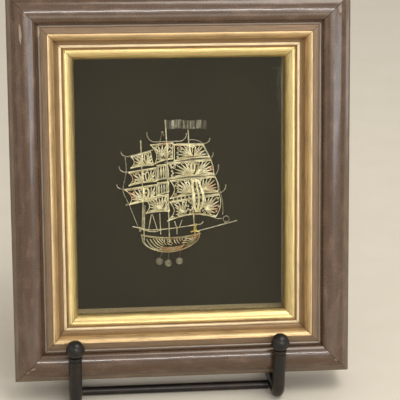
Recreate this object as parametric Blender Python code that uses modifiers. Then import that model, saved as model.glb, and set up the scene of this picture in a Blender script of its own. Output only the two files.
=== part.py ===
"""Silver wire ship in a brown and gilt shadow-box frame, leaning on a bent rod easel.

Metres, +Z up, front towards -Y. The origin is on the table, under the middle of the whole.
The frame is modelled upright in its own space (x across, y back from the front, z up from its
bottom edge), and one empty leans it back onto the easel.
"""
import math
from collections import namedtuple

import bmesh
import bpy
from mathutils import Vector

# Clearance left between two pieces that touch, and how near two points count as one
GAP = 0.0003
MERGE = 0.00001
SMOOTH_UNDER = math.radians(35.0)

# Glass and mount that the frame is cut for, and how far the moulding covers their edge
PICTURE_WIDTH = 0.1270
PICTURE_HEIGHT = 0.1524
LIP = 0.00635

# Moulding: one row for each band of its face, from the outer edge in to the sight edge.
# Widths, and the depths where a band starts and ends, are measured from the frame's front plane.
Band = namedtuple("Band", "width start end rise steps")
EDGE_CHAMFER = 0.0008
BANDS = (
    Band(0.0026, 0.0048, 0.0044, 0.0000, 1),    # outer step
    Band(0.0130, 0.0042, 0.0034, 0.0037, 14),   # large brown roll
    Band(0.0006, 0.0042, 0.0042, 0.0000, 1),    # quirk
    Band(0.0016, 0.0034, 0.0032, 0.0009, 5),    # small bead
    Band(0.0032, 0.0028, 0.0020, 0.0002, 2),    # worn copper step
    Band(0.0036, 0.0022, 0.0050, 0.0016, 8),    # tan ridge
    Band(0.0025, 0.0050, 0.0080, -0.0009, 5),   # cove
    Band(0.0017, 0.0080, 0.0080, 0.0003, 3),    # pale fillet
    Band(0.0007, 0.0090, 0.0090, 0.0000, 1),    # shadow line
    Band(0.00585, 0.0087, 0.0118, 0.0020, 10),  # gilt roll at the sight edge
)
LIP_BACK = 0.0135
BACK_CHAMFER = 0.0005
MITRE_GAP = GAP

# Layers behind the lip, front to back
GLASS_THICKNESS = 0.0020
BOX_DEPTH = 0.0100
SPACER_TOP_THICKNESS = 0.0060
SPACER_SIDE_THICKNESS = 0.0053
VELVET_THICKNESS = 0.0020
BACKING_THICKNESS = 0.0020
BACKING_INSET = 0.0002

# Sawtooth hanger on the back of the top rail
HANGER_LENGTH = 0.0450
HANGER_HEIGHT = 0.0100
HANGER_THICKNESS = 0.0008
HANGER_DROP = 0.0140
TOOTH_COUNT = 9
TOOTH_DEPTH = 0.0022
NAIL_SPACING = 0.0360
NAIL_SHANK = 0.0014
NAIL_HEAD = 0.0036
NAIL_HEAD_THICKNESS = 0.0007
NAIL_HEAD_FLAT = 0.7
NAIL_HEIGHT = 0.2

# Easel
LEAN = math.radians(13.0)
ROD = 0.0071
ROD_SIDES = 12
ROD_SPREAD = 0.1119
EASEL_SHIFT = -0.00385
BALL = 0.0102
BALL_HEIGHT = 0.0352
NECK = 0.0064
COLLAR = 0.0077
COLLAR_HEIGHT = 0.0018
FRONT_BEND = 0.0045
REAR_BEND = 0.0090
KNOB_STEPS = 16
BASE_REACH = 0.0980
REST_LOW = 0.0950
REST_HIGH = 0.1260
REST_BEND = 0.0120
CROSSBAR = 0.0050
FRONT_BAR_BACK = 0.0130
TOP_BAR_UP = 0.0160

# Ship. Its outline is drawn in millimetres from the middle of the hull's rim.
DRAWN = 0.001
SHIP_LEFT = 0.0050
SHIP_BELOW = 0.0292
MAST_WIRE = 0.00070
YARD_WIRE = 0.00056
STAY_WIRE = 0.00038
WIRE_SIDES = 6
MAST_LIFT = 0.0007
STAY_LIFT = 0.0014
YARD_LIFT = 0.0021
SAIL_LIFT = 0.0027
UPPER_SAIL_LIFT = 0.0040
SAIL_SHEET = 0.00035
SAIL_BORDER = 0.00075
BORDER_RISE = 0.00025
PENNANT_SHEET = 0.00025
PENNANT_WAVE = 0.0005
HULL_RIBS = 8
RIB_RISE = 0.0004
DISC = 0.0038
DISC_THICKNESS = 0.0006
DISC_RIM = 0.2
DISC_HOLLOW = 0.4
RING = 0.0034

Sail = namedtuple("Sail", "name head_left head_right foot_right foot_left hollows arch billow lift")
SAILS = (
    Sail("mizzen_sail_top", (-21.1, 44.5), (-10.4, 47.4), (-8.7, 39.8), (-21.4, 38.3), (1.8, 0.2), 0.4, 1.5,
         SAIL_LIFT),
    Sail("mizzen_sail_middle", (-22.5, 35.8), (-7.4, 38.2), (-7.4, 30.6), (-22.5, 28.5), (2.1, 0.2), 0.5, 1.6,
         SAIL_LIFT),
    Sail("mizzen_sail_lower", (-24.7, 26.2), (-7.2, 28.8), (-7.2, 20.4), (-22.5, 17.9), (2.4, 0.2), 0.3, 0.6,
         SAIL_LIFT),
    Sail("main_sail_top", (-10.2, 50.9), (2.1, 52.0), (1.9, 42.9), (-8.0, 40.5), (2.0, 0.1), 0.6, 1.5,
         SAIL_LIFT),
    Sail("main_sail_upper", (-6.9, 39.4), (-1.8, 39.9), (-1.6, 31.9), (-6.9, 31.2), (0.2, 0.1), 0.3, 1.0,
         SAIL_LIFT),
    Sail("main_sail_middle", (-6.7, 29.6), (-0.4, 30.2), (-0.4, 24.6), (-6.7, 22.6), (0.2, 0.2), 0.2, 0.6,
         SAIL_LIFT),
    Sail("main_sail_lower", (-13.9, 21.2), (-0.9, 23.3), (-0.3, 13.9), (-13.3, 13.1), (2.2, 0.3), 0.4, 1.6,
         UPPER_SAIL_LIFT),
    Sail("fore_sail_top", (2.6, 50.9), (18.7, 50.7), (22.3, 43.5), (2.6, 41.6), (0.3, 0.2), 0.6, 1.6,
         SAIL_LIFT),
    Sail("fore_sail_upper", (-1.2, 40.4), (23.0, 42.2), (24.7, 33.6), (-0.6, 31.9), (0.3, -0.5), 0.6, 1.8,
         SAIL_LIFT),
    Sail("fore_sail_middle", (0.3, 30.8), (25.2, 32.7), (27.0, 24.0), (0.3, 20.8), (2.4, -0.8), 0.5, 1.8,
         SAIL_LIFT),
    Sail("fore_sail_lower", (0.0, 18.7), (27.6, 22.7), (25.6, 9.7), (-1.3, 8.2), (3.0, -1.8), 2.6, 2.2,
         SAIL_LIFT),
)
SAIL_COLUMNS = 5
SAIL_ROWS = 3

# Yards: where each runs, then the size of the hook that turns up at its left and right end
Yard = namedtuple("Yard", "name left right left_hook right_hook")
YARDS = (
    Yard("mizzen_yard_top", (-22.6, 44.6), (-9.0, 48.0), (4.0, 2.4), None),
    Yard("mizzen_yard_middle", (-24.0, 35.9), (-4.0, 38.6), (3.8, 3.0), None),
    Yard("mizzen_yard_lower", (-25.4, 26.4), (-4.0, 29.1), (3.8, 2.4), None),
    Yard("royal_yard", (-8.0, 52.4), (5.9, 52.6), (4.2, 5.0), (3.8, 4.0)),
    Yard("fore_yard_top", (4.0, 51.2), (19.4, 51.0), None, (3.3, 2.6)),
    Yard("fore_yard_upper", (-2.5, 40.8), (22.6, 42.7), None, (1.9, 2.9)),
    Yard("fore_yard_middle", (-0.6, 31.3), (24.9, 33.3), None, (2.6, 5.4)),
    Yard("fore_yard_lower", (-0.6, 19.0), (28.0, 23.3), None, (3.5, 4.1)),
)

# Straight and bent wires, as drawn points
MIZZEN_MAST = ((-15.6, 53.3), (-14.3, -3.0))
MAIN_MAST = ((-2.0, 64.4), (-1.3, 53.7), (-0.2, -4.5))
FORE_MAST = ((10.8, 58.6), (11.0, 53.1), (14.2, -2.4))
MAST_BRACE = ((-5.2, 51.8), (-3.6, 58.0), (-2.6, 55.4))
BOWSPRIT = ((15.1, 1.5), (37.9, 7.0))
STAY_LEFT = ((-24.4, 44.4), (-23.9, 36.4), (-25.8, 26.3), (-24.1, 20.9), (-22.3, 17.0), (-17.8, 5.2))
STAY_RIGHT = ((10.9, 53.0), (14.2, 53.1), (18.7, 51.2), (20.6, 47.6), (23.1, 42.5), (25.0, 34.1),
              (27.3, 28.5), (28.5, 23.5), (29.8, 17.3), (29.8, 10.6))
SHEET = ((15.9, 11.2), (21.5, 10.4), (26.5, 8.6), (29.3, 8.6))
BOOM = ((-20.8, 5.4), (-16.9, 4.5), (-11.9, 3.3), (-5.2, 3.3), (3.7, 4.1), (14.8, 5.5), (17.3, 5.8),
        (18.7, 7.2))
UPRIGHTS = (
    ((-15.0, 17.2), (-15.6, 3.6)),
    ((-13.8, 17.2), (-14.4, 1.9)),
    ((-10.3, 12.0), (-12.0, 3.0)),
    ((-9.7, 12.0), (-7.0, 2.9)),
    ((-5.6, 12.4), (-5.2, 0.5)),
    ((3.9, 4.4), (3.9, 0.4)),
    ((2.6, 7.8), (3.8, 3.9)),
    ((6.8, 8.4), (5.2, 4.0)),
)
RIM_LEFT = (-16.4, 0.8)
RIM_RIGHT = (17.0, 0.8)
RIM_SAG = 1.9
END_DEPTH = 0.7
KEEL_DEPTH = 7.6
KEEL_AT = 0.43
HULL_TAPER = 0.10
HULL_BILLOW = 1.8
PENDANTS = ((0.36, (-6.1, -14.6)), (0.46, (-1.2, -15.7)), (0.66, (5.1, -14.6)))
PENDANT_SLACK = 0.4
RING_AT = (31.6, 8.3)
PENNANTS = (("pennant_main", -1.4, 9.6, 59.4, 64.3), ("pennant_fore", 10.0, 21.0, 59.2, 63.9))

# Colour, roughness and metallic value of each finish
FINISHES = {
    "brown_moulding": ((0.16, 0.10, 0.065), 0.35, 0.1),
    "black_iron": ((0.03, 0.028, 0.025), 0.4, 0.6),
    "clear_glass": ((0.95, 0.97, 0.96), 0.03, 0.0),
    "tan_board": ((0.45, 0.38, 0.25), 0.85, 0.0),
    "black_velvet": ((0.012, 0.011, 0.010), 0.95, 0.0),
    "brown_board": ((0.22, 0.15, 0.09), 0.8, 0.0),
    "brass": ((0.75, 0.60, 0.30), 0.35, 1.0),
    "silver": ((0.83, 0.80, 0.72), 0.28, 1.0),
}

# Sizes that follow from the ones above
SIGHT_WIDTH = PICTURE_WIDTH - 2 * LIP
SIGHT_HEIGHT = PICTURE_HEIGHT - 2 * LIP
MOULDING_WIDTH = sum(band.width for band in BANDS)
OUTER_WIDTH = SIGHT_WIDTH + 2 * MOULDING_WIDTH
OUTER_HEIGHT = SIGHT_HEIGHT + 2 * MOULDING_WIDTH
RABBET = MOULDING_WIDTH - LIP - GAP
GLASS_FRONT = LIP_BACK + GAP
BOX_FRONT = GLASS_FRONT + GLASS_THICKNESS + GAP
VELVET_FRONT = BOX_FRONT + BOX_DEPTH + GAP
BACKING_FRONT = VELVET_FRONT + VELVET_THICKNESS + GAP
FRAME_DEPTH = BACKING_FRONT + BACKING_THICKNESS + BACKING_INSET
PICTURE_MIDDLE = OUTER_HEIGHT / 2
ROD_FLAT = ROD / 2 * math.cos(math.pi / ROD_SIDES)
KNOB_FOOT = BALL_HEIGHT - math.sqrt((BALL / 2) ** 2 - (NECK / 2) ** 2) - COLLAR_HEIGHT


def clear_scene():
    """Start from an empty file."""
    for thing in list(bpy.data.objects):
        bpy.data.objects.remove(thing, do_unlink=True)


def finish(name):
    """The material of one finish."""
    material = bpy.data.materials.get(name) or bpy.data.materials.new(name)
    material.use_nodes = True
    shader = material.node_tree.nodes["Principled BSDF"]
    colour, roughness, metallic = FINISHES[name]
    shader.inputs["Base Color"].default_value = (*colour, 1.0)
    shader.inputs["Roughness"].default_value = roughness
    shader.inputs["Metallic"].default_value = metallic
    return material


def place(name, data, material, collection, parent=None):
    """Link a mesh or curve as a named object with its finish."""
    thing = bpy.data.objects.new(name, data)
    if not data.materials:
        data.materials.append(finish(material))
    collection.objects.link(thing)
    thing.parent = parent
    return thing


def mesh_from(name, shape):
    """Turn a bmesh into mesh data with outward normals."""
    bmesh.ops.recalc_face_normals(shape, faces=shape.faces)
    mesh = bpy.data.meshes.new(name)
    shape.to_mesh(mesh)
    shape.free()
    return mesh


def block(name, low, high):
    """A cuboid from its lowest and highest corners."""
    shape = bmesh.new()
    bmesh.ops.create_cube(shape, size=1.0)
    size = Vector(high) - Vector(low)
    bmesh.ops.scale(shape, vec=size, verts=shape.verts)
    bmesh.ops.translate(shape, vec=(Vector(high) + Vector(low)) / 2, verts=shape.verts)
    return mesh_from(name, shape)


# Moulding

def moulding_profile():
    """Outline of the moulding, as distance in from the outer edge and depth from the front."""
    outline = [(0.0, BANDS[0].start + EDGE_CHAMFER)]
    across = 0.0
    for band in BANDS:
        inset = EDGE_CHAMFER if across == 0.0 else 0.0
        for step in range(band.steps + 1):
            turn = math.pi * step / band.steps
            share = (1 - math.cos(turn)) / 2
            depth = band.start + (band.end - band.start) * share - band.rise * math.sin(turn)
            point = (across + inset + (band.width - inset) * share, depth)
            if point != outline[-1]:
                outline.append(point)
        across += band.width
    outline += [
        (MOULDING_WIDTH, LIP_BACK),
        (RABBET, LIP_BACK),
        (RABBET, FRAME_DEPTH),
        (BACK_CHAMFER, FRAME_DEPTH),
        (0.0, FRAME_DEPTH - BACK_CHAMFER),
    ]
    return outline


def mitred_rail(name, length):
    """A length of moulding along x, its outer edge at z = 0, mitred at both ends."""
    shape = bmesh.new()
    trim = MITRE_GAP / math.sqrt(2)
    profile = moulding_profile()
    start = [shape.verts.new((trim + inward - length / 2, depth, inward)) for inward, depth in profile]
    end = shape.faces.new(start)
    swept = bmesh.ops.extrude_face_region(shape, geom=[end])["geom"]
    for vertex in (item for item in swept if isinstance(item, bmesh.types.BMVert)):
        vertex.co.x = -vertex.co.x
    return mesh_from(name, shape)


def add_moulding(collection, lean):
    """Four rails, each turned to its side of the frame."""
    half_width = OUTER_WIDTH / 2
    sides = (
        ("rail_bottom", OUTER_WIDTH, (0, 0, 0), 0.0),
        ("rail_top", OUTER_WIDTH, (0, 0, OUTER_HEIGHT), math.pi),
        ("rail_left", OUTER_HEIGHT, (-half_width, 0, OUTER_HEIGHT / 2), math.pi / 2),
        ("rail_right", OUTER_HEIGHT, (half_width, 0, OUTER_HEIGHT / 2), -math.pi / 2),
    )
    for name, length, where, turn in sides:
        mesh = mitred_rail(name, length)
        mesh.shade_smooth()
        mesh.set_sharp_from_angle(angle=SMOOTH_UNDER)
        rail = place(name, mesh, "brown_moulding", collection, lean)
        rail.location = where
        rail.rotation_euler = (0, turn, 0)


# Glass, box and back

def add_contents(collection, lean):
    """Glass, spacers, velvet mount and backing board, stacked in the rabbet."""
    half_width = PICTURE_WIDTH / 2
    bottom = PICTURE_MIDDLE - PICTURE_HEIGHT / 2
    top = PICTURE_MIDDLE + PICTURE_HEIGHT / 2
    sheets = (
        ("glass_pane", "clear_glass", GLASS_FRONT, GLASS_THICKNESS),
        ("velvet_mount", "black_velvet", VELVET_FRONT, VELVET_THICKNESS),
        ("backing_board", "brown_board", BACKING_FRONT, BACKING_THICKNESS),
    )
    for name, material, front, thickness in sheets:
        low = (-half_width, front, bottom)
        high = (half_width, front + thickness, top)
        place(name, block(name, low, high), material, collection, lean)
    back = BOX_FRONT + BOX_DEPTH
    for name, low_z in (("spacer_bottom", bottom), ("spacer_top", top - SPACER_TOP_THICKNESS)):
        low = (-half_width, BOX_FRONT, low_z)
        high = (half_width, back, low_z + SPACER_TOP_THICKNESS)
        place(name, block(name, low, high), "tan_board", collection, lean)
    side_bottom = bottom + SPACER_TOP_THICKNESS + GAP
    side_top = top - SPACER_TOP_THICKNESS - GAP
    for name, low_x in (("spacer_left", -half_width), ("spacer_right", half_width - SPACER_SIDE_THICKNESS)):
        low = (low_x, BOX_FRONT, side_bottom)
        high = (low_x + SPACER_SIDE_THICKNESS, back, side_top)
        place(name, block(name, low, high), "tan_board", collection, lean)


def flat_outline(name, outlines, thickness):
    """A plate from closed outlines in x and y; inner outlines are holes."""
    curve = bpy.data.curves.new(name, "CURVE")
    curve.dimensions = "2D"
    curve.fill_mode = "BOTH"
    curve.extrude = thickness / 2
    for outline in outlines:
        spline = curve.splines.new("POLY")
        spline.points.add(len(outline) - 1)
        for point, (x, y) in zip(spline.points, outline):
            point.co = (x, y, 0, 1)
        spline.use_cyclic_u = True
    return curve


def circle(x, y, radius, sides):
    """Points round a circle."""
    turns = (2 * math.pi * side / sides for side in range(sides))
    return [(x + radius * math.cos(turn), y + radius * math.sin(turn)) for turn in turns]


def turned(name, profile, steps):
    """A closed turned piece: a profile from axis to axis, top to bottom, screwed round z."""
    shape = bmesh.new()
    points = [shape.verts.new((radius, 0, height)) for radius, height in profile]
    for upper, lower in zip(points, points[1:]):
        shape.edges.new((upper, lower))
    bmesh.ops.spin(shape, geom=shape.verts[:] + shape.edges[:], cent=(0, 0, 0), axis=(0, 0, 1),
                   angle=2 * math.pi, steps=steps, use_merge=True)
    bmesh.ops.remove_doubles(shape, verts=shape.verts, dist=MERGE)
    mesh = mesh_from(name, shape)
    mesh.shade_smooth()
    mesh.set_sharp_from_angle(angle=SMOOTH_UNDER)
    return mesh


def add_hanger(collection, lean):
    """Sawtooth plate and its two nails, on the back of the top rail."""
    half = HANGER_LENGTH / 2
    tooth = HANGER_LENGTH / (TOOTH_COUNT + 2)
    outline = [(-half, HANGER_HEIGHT / 2), (-half, -HANGER_HEIGHT / 2), (tooth - half, -HANGER_HEIGHT / 2)]
    for index in range(TOOTH_COUNT):
        left = tooth * (index + 1) - half
        outline += [(left + tooth / 2, TOOTH_DEPTH - HANGER_HEIGHT / 2), (left + tooth, -HANGER_HEIGHT / 2)]
    outline += [(half, -HANGER_HEIGHT / 2), (half, HANGER_HEIGHT / 2)]
    nail_up = HANGER_HEIGHT * NAIL_HEIGHT
    holes = [circle(side * NAIL_SPACING / 2, nail_up, NAIL_SHANK / 2 + GAP, 12) for side in (-1, 1)]
    plate_back = FRAME_DEPTH + GAP + HANGER_THICKNESS
    height = OUTER_HEIGHT - HANGER_DROP
    plate = place("sawtooth_hanger", flat_outline("sawtooth_hanger", [outline] + holes, HANGER_THICKNESS),
                  "brass", collection, lean)
    plate.location = (0, plate_back - HANGER_THICKNESS / 2, height)
    plate.rotation_euler = (math.pi / 2, 0, 0)
    head_back = plate_back + GAP + NAIL_HEAD_THICKNESS
    shank_length = head_back - FRAME_DEPTH - GAP
    profile = (
        (0, shank_length),
        (NAIL_HEAD / 2 * NAIL_HEAD_FLAT, shank_length),
        (NAIL_HEAD / 2, shank_length - NAIL_HEAD_THICKNESS / 2),
        (NAIL_HEAD / 2, shank_length - NAIL_HEAD_THICKNESS),
        (NAIL_SHANK / 2, shank_length - NAIL_HEAD_THICKNESS),
        (NAIL_SHANK / 2, 0),
        (0, 0),
    )
    for name, side in (("hanger_nail_left", -1), ("hanger_nail_right", 1)):
        nail = place(name, turned(name, profile, 12), "brass", collection, lean)
        nail.location = (side * NAIL_SPACING / 2, FRAME_DEPTH + GAP, height + nail_up)
        nail.rotation_euler = (-math.pi / 2, 0, 0)


# Easel

def in_frame(across, back, up, origin):
    """World place of a point of the leaning frame."""
    return Vector((
        across,
        origin.y + back * math.cos(LEAN) + up * math.sin(LEAN),
        origin.z + up * math.cos(LEAN) - back * math.sin(LEAN),
    ))


def rounded_path(corners, radii, steps=4):
    """Points along straight runs, each inner corner rounded by an arc of its radius."""
    path = [Vector(corners[0])]
    for before, corner, after, radius in zip(corners, corners[1:], corners[2:], radii):
        corner = Vector(corner)
        back = (Vector(before) - corner).normalized()
        ahead = (Vector(after) - corner).normalized()
        half_angle = back.angle(ahead) / 2
        centre = corner + (back + ahead).normalized() * radius / math.sin(half_angle)
        reach = radius / math.tan(half_angle)
        first = corner + back * reach - centre
        last = corner + ahead * reach - centre
        sweep = first.angle(last)
        for step in range(steps + 1):
            share = step / steps
            arm = first * math.sin((1 - share) * sweep) + last * math.sin(share * sweep)
            path.append(centre + arm / math.sin(sweep))
    path.append(Vector(corners[-1]))
    return path


def rod(name, path, diameter, sides):
    """A round bar along a path, with a flat of its facets turned down."""
    curve = bpy.data.curves.new(name, "CURVE")
    curve.dimensions = "3D"
    curve.bevel_depth = diameter / 2
    curve.bevel_resolution = sides // 2 - 2
    curve.use_fill_caps = True
    spline = curve.splines.new("POLY")
    spline.points.add(len(path) - 1)
    for point, where in zip(spline.points, path):
        point.co = (*where, 1)
        point.tilt = math.pi / sides
    return curve


def post_ahead():
    """How far the posts stand from the frame's corner, so that the moulding just meets them."""
    front = min(depth * math.cos(LEAN) + up * math.sin(LEAN) for up, depth in moulding_profile())
    return front - GAP - ROD / 2


def easel_path(x, origin):
    """Line of one side rod: post, run along the table, strut, then rest behind the frame."""
    post_y = origin.y + post_ahead()
    behind = FRAME_DEPTH + GAP + ROD / 2
    corners = (
        (x, post_y, KNOB_FOOT - GAP),
        (x, post_y, ROD_FLAT),
        (x, post_y + BASE_REACH - ROD, ROD_FLAT),
        in_frame(x, behind, REST_LOW, origin),
        in_frame(x, behind, REST_HIGH, origin),
    )
    return rounded_path(corners, (FRONT_BEND, REAR_BEND, REST_BEND))


def frame_origin():
    """Where the frame's front bottom corner stands: its back edge on the rods, the whole centred."""
    height = 2 * ROD_FLAT + GAP + FRAME_DEPTH * math.sin(LEAN)
    front = post_ahead() - BALL / 2
    rear = max(point.y for point in easel_path(0, Vector((0, 0, height)))) + ROD_FLAT
    return Vector((0, -(front + rear) / 2, height))


def add_easel(collection):
    """Two bent side rods with ball ends, and the two bars that tie them."""
    origin = frame_origin()
    post_y = origin.y + post_ahead()
    for side, word in ((-1, "left"), (1, "right")):
        x = EASEL_SHIFT + side * ROD_SPREAD / 2
        bar = rod("easel_rod_" + word, easel_path(x, origin), ROD, ROD_SIDES)
        place("easel_rod_" + word, bar, "black_iron", collection)
        ball = turned("easel_ball_" + word, knob_profile(), KNOB_STEPS)
        knob = place("easel_ball_" + word, ball, "black_iron", collection)
        knob.location = (x, post_y, KNOB_FOOT)
    half_bar = ROD_SPREAD / 2 - ROD_FLAT - GAP
    bars = (
        ("easel_bar_front", Vector((0, post_y + FRONT_BAR_BACK, CROSSBAR / 2))),
        ("easel_bar_top", in_frame(0, FRAME_DEPTH + GAP + CROSSBAR / 2, REST_HIGH - TOP_BAR_UP, origin)),
    )
    for name, middle in bars:
        ends = [middle + Vector((EASEL_SHIFT + side * half_bar, 0, 0)) for side in (-1, 1)]
        place(name, rod(name, ends, CROSSBAR, ROD_SIDES), "black_iron", collection)


def knob_profile():
    """Ball on a short collar, from the top of the ball down to the collar's foot."""
    centre = BALL_HEIGHT - KNOB_FOOT
    lowest = math.pi - math.asin(NECK / BALL)
    steps = KNOB_STEPS // 2
    turns = [lowest * step / steps for step in range(steps + 1)]
    ball = [(BALL / 2 * math.sin(turn), centre + BALL / 2 * math.cos(turn)) for turn in turns]
    ball[0] = (0, centre + BALL / 2)
    rim = COLLAR_HEIGHT / 4
    collar = [(COLLAR / 2, COLLAR_HEIGHT - rim), (COLLAR / 2, rim), (COLLAR / 2 - rim, 0), (0, 0)]
    return ball + collar


# Ship

def ship_point(x, z, lift):
    """A drawn point of the ship, lifted off the velvet towards the glass."""
    rim_height = PICTURE_MIDDLE - SHIP_BELOW
    return Vector((x * DRAWN - SHIP_LEFT, VELVET_FRONT - lift, rim_height + z * DRAWN))


def smooth_line(points, steps=2):
    """Points on a smooth curve through the given ones."""
    ends = [points[0]] + list(points) + [points[-1]]
    line = []
    for before, start, stop, after in zip(ends, ends[1:], ends[2:], ends[3:]):
        for step in range(steps):
            t = step / steps
            weights = (
                (2 * t * t - t - t ** 3) / 2,
                (3 * t ** 3 - 5 * t * t + 2) / 2,
                (4 * t * t + t - 3 * t ** 3) / 2,
                (t ** 3 - t * t) / 2,
            )
            knots = (before, start, stop, after)
            line.append(tuple(sum(w * knot[axis] for w, knot in zip(weights, knots)) for axis in (0, 1)))
    return line + [tuple(points[-1])]


def wire(name, points, lift, diameter, collection, lean):
    """One silver wire through drawn points."""
    path = [ship_point(x, z, lift) for x, z in points]
    return place(name, rod(name, path, diameter, WIRE_SIDES), "silver", collection, lean)


def as_mesh(thing):
    """Swap a curve object for the mesh it makes, with its caps welded on."""
    graph = bpy.context.evaluated_depsgraph_get()
    mesh = bpy.data.meshes.new_from_object(thing.evaluated_get(graph))
    shape = bmesh.new()
    shape.from_mesh(mesh)
    bmesh.ops.remove_doubles(shape, verts=shape.verts, dist=MERGE)
    shape.to_mesh(mesh)
    shape.free()
    name, collection, parent = thing.name, thing.users_collection[0], thing.parent
    bpy.data.objects.remove(thing, do_unlink=True)
    return place(name, mesh, "silver", collection, parent)


def fused(pieces):
    """Join pieces that are soldered together into the first one's solid."""
    pieces = [as_mesh(piece) if piece.type == "CURVE" else piece for piece in pieces]
    base = pieces[0]
    for piece in pieces[1:]:
        joint = base.modifiers.new("solder", "BOOLEAN")
        joint.operation = "UNION"
        joint.object = piece
    bpy.context.view_layer.update()
    graph = bpy.context.evaluated_depsgraph_get()
    mesh = bpy.data.meshes.new_from_object(base.evaluated_get(graph))
    base.modifiers.clear()
    base.data = mesh
    for piece in pieces[1:]:
        bpy.data.objects.remove(piece, do_unlink=True)
    return base


def blend(start, stop, share):
    """A value or point part of the way between two others."""
    return tuple(a + (b - a) * share for a, b in zip(start, stop))


def border_shares(length, count):
    """Grid lines over a panel: a narrow raised border at each end and even steps between."""
    border = SAIL_BORDER / length
    slope = border * 1.5
    inner = [slope + (1 - 2 * slope) * step / count for step in range(count + 1)]
    shares = [0.0, border] + inner + [1 - border, 1.0]
    rises = [BORDER_RISE, BORDER_RISE] + [0.0] * len(inner) + [BORDER_RISE, BORDER_RISE]
    return list(zip(shares, rises))


def closed_sheet(name, rows, thickness):
    """A closed sheet from rows of front points; its back lies a thickness behind."""
    shape = bmesh.new()
    fronts = [[shape.verts.new(point) for point in row] for row in rows]
    base = max(point.y for row in rows for point in row)
    backs = []
    for row in rows:
        backs.append([shape.verts.new((p.x, min(p.y, base) + thickness, p.z)) for p in row])
    for upper, lower, upper_back, lower_back in zip(fronts, fronts[1:], backs, backs[1:]):
        for i in range(len(upper) - 1):
            shape.faces.new((upper[i], lower[i], lower[i + 1], upper[i + 1]))
            shape.faces.new((upper_back[i], upper_back[i + 1], lower_back[i + 1], lower_back[i]))
    loop = [(row, 0) for row in range(len(rows))]
    loop += [(len(rows) - 1, column) for column in range(1, len(rows[0]))]
    loop += [(row, len(rows[0]) - 1) for row in range(len(rows) - 2, -1, -1)]
    loop += [(0, column) for column in range(len(rows[0]) - 2, 0, -1)]
    for (r1, c1), (r2, c2) in zip(loop, loop[1:] + loop[:1]):
        shape.faces.new((fronts[r1][c1], backs[r1][c1], backs[r2][c2], fronts[r2][c2]))
    return mesh_from(name, shape)


def add_sail(sail, collection, lean):
    """A billowing panel with hollow sides, an arched foot and a raised wire border."""
    head = math.dist(sail.head_left, sail.head_right) * DRAWN
    drop = math.dist(sail.head_left, sail.foot_left) * DRAWN
    rows = []
    for down, row_rise in border_shares(drop, SAIL_ROWS):
        left = blend(sail.head_left, sail.foot_left, down)
        right = blend(sail.head_right, sail.foot_right, down)
        swell = math.sin(math.pi * down)
        row = []
        for along, column_rise in border_shares(head, SAIL_COLUMNS):
            x, z = blend(left, right, along)
            x += sail.hollows[0] * swell * (1 - along) - sail.hollows[1] * swell * along
            z += sail.arch * math.sin(math.pi * along) * down
            billow = sail.billow * DRAWN * math.sin(math.pi * along) ** 0.7 * swell ** 0.7
            lift = sail.lift + SAIL_SHEET + billow + max(row_rise, column_rise)
            row.append(ship_point(x, z, lift))
        rows.append(row)
    place(sail.name, closed_sheet(sail.name, rows, SAIL_SHEET), "silver", collection, lean)


def hook(end, size, direction):
    """A quarter of an ellipse that turns up from the end of a yard."""
    out, up = size
    turns = [math.pi / 2 * step / 4 for step in range(1, 5)]
    return [(end[0] + direction * out * math.sin(turn), end[1] + up * (1 - math.cos(turn))) for turn in turns]


def add_yard(yard, collection, lean):
    """A wire spar whose free ends turn up in hooks."""
    points = [yard.left, yard.right]
    if yard.left_hook:
        points = hook(yard.left, yard.left_hook, -1)[::-1] + points
    if yard.right_hook:
        points = points + hook(yard.right, yard.right_hook, 1)
    wire(yard.name, points, YARD_LIFT, YARD_WIRE, collection, lean)


def hull_outline(along, down):
    """Drawn point of the hull: a share along from stern to bow, and down from rim to keel."""
    x, z = blend(RIM_LEFT, RIM_RIGHT, along)
    rim = z - RIM_SAG * math.sin(math.pi * along)
    skew = along ** (math.log(0.5) / math.log(KEEL_AT))
    body = END_DEPTH + KEEL_DEPTH * math.sin(math.pi * skew) ** 0.6
    taper = 1 - HULL_TAPER * math.sin(math.pi * down / 2) * (1 - math.sin(math.pi * along))
    middle = (RIM_LEFT[0] + RIM_RIGHT[0]) / 2
    return middle + (x - middle) * taper, rim - body * down


def add_hull(collection, lean):
    """A swelling crescent with a raised border and curved ribs."""
    edge = 0.02
    slope = 0.03
    columns = [(0.0, BORDER_RISE), (edge, BORDER_RISE)]
    for rib in range(HULL_RIBS):
        middle = (rib + 1) / (HULL_RIBS + 1)
        columns += [(middle - slope, 0.0), (middle, RIB_RISE), (middle + slope, 0.0)]
    columns += [(1.0 - edge, BORDER_RISE), (1.0, BORDER_RISE)]
    depths = [(0.0, BORDER_RISE), (0.10, BORDER_RISE), (0.17, 0.0), (0.52, 0.0), (0.88, BORDER_RISE),
              (1.0, BORDER_RISE)]
    rows = []
    for down, row_rise in depths:
        row = []
        for along, column_rise in columns:
            swell = math.sin(math.pi * along) ** 0.5 * math.sin(math.pi * (0.2 + 0.8 * down))
            lift = SAIL_LIFT + SAIL_SHEET + HULL_BILLOW * DRAWN * swell + max(row_rise, column_rise)
            row.append(ship_point(*hull_outline(along, down), lift))
        rows.append(row)
    place("ship_hull", closed_sheet("ship_hull", rows, SAIL_SHEET), "silver", collection, lean)


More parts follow.
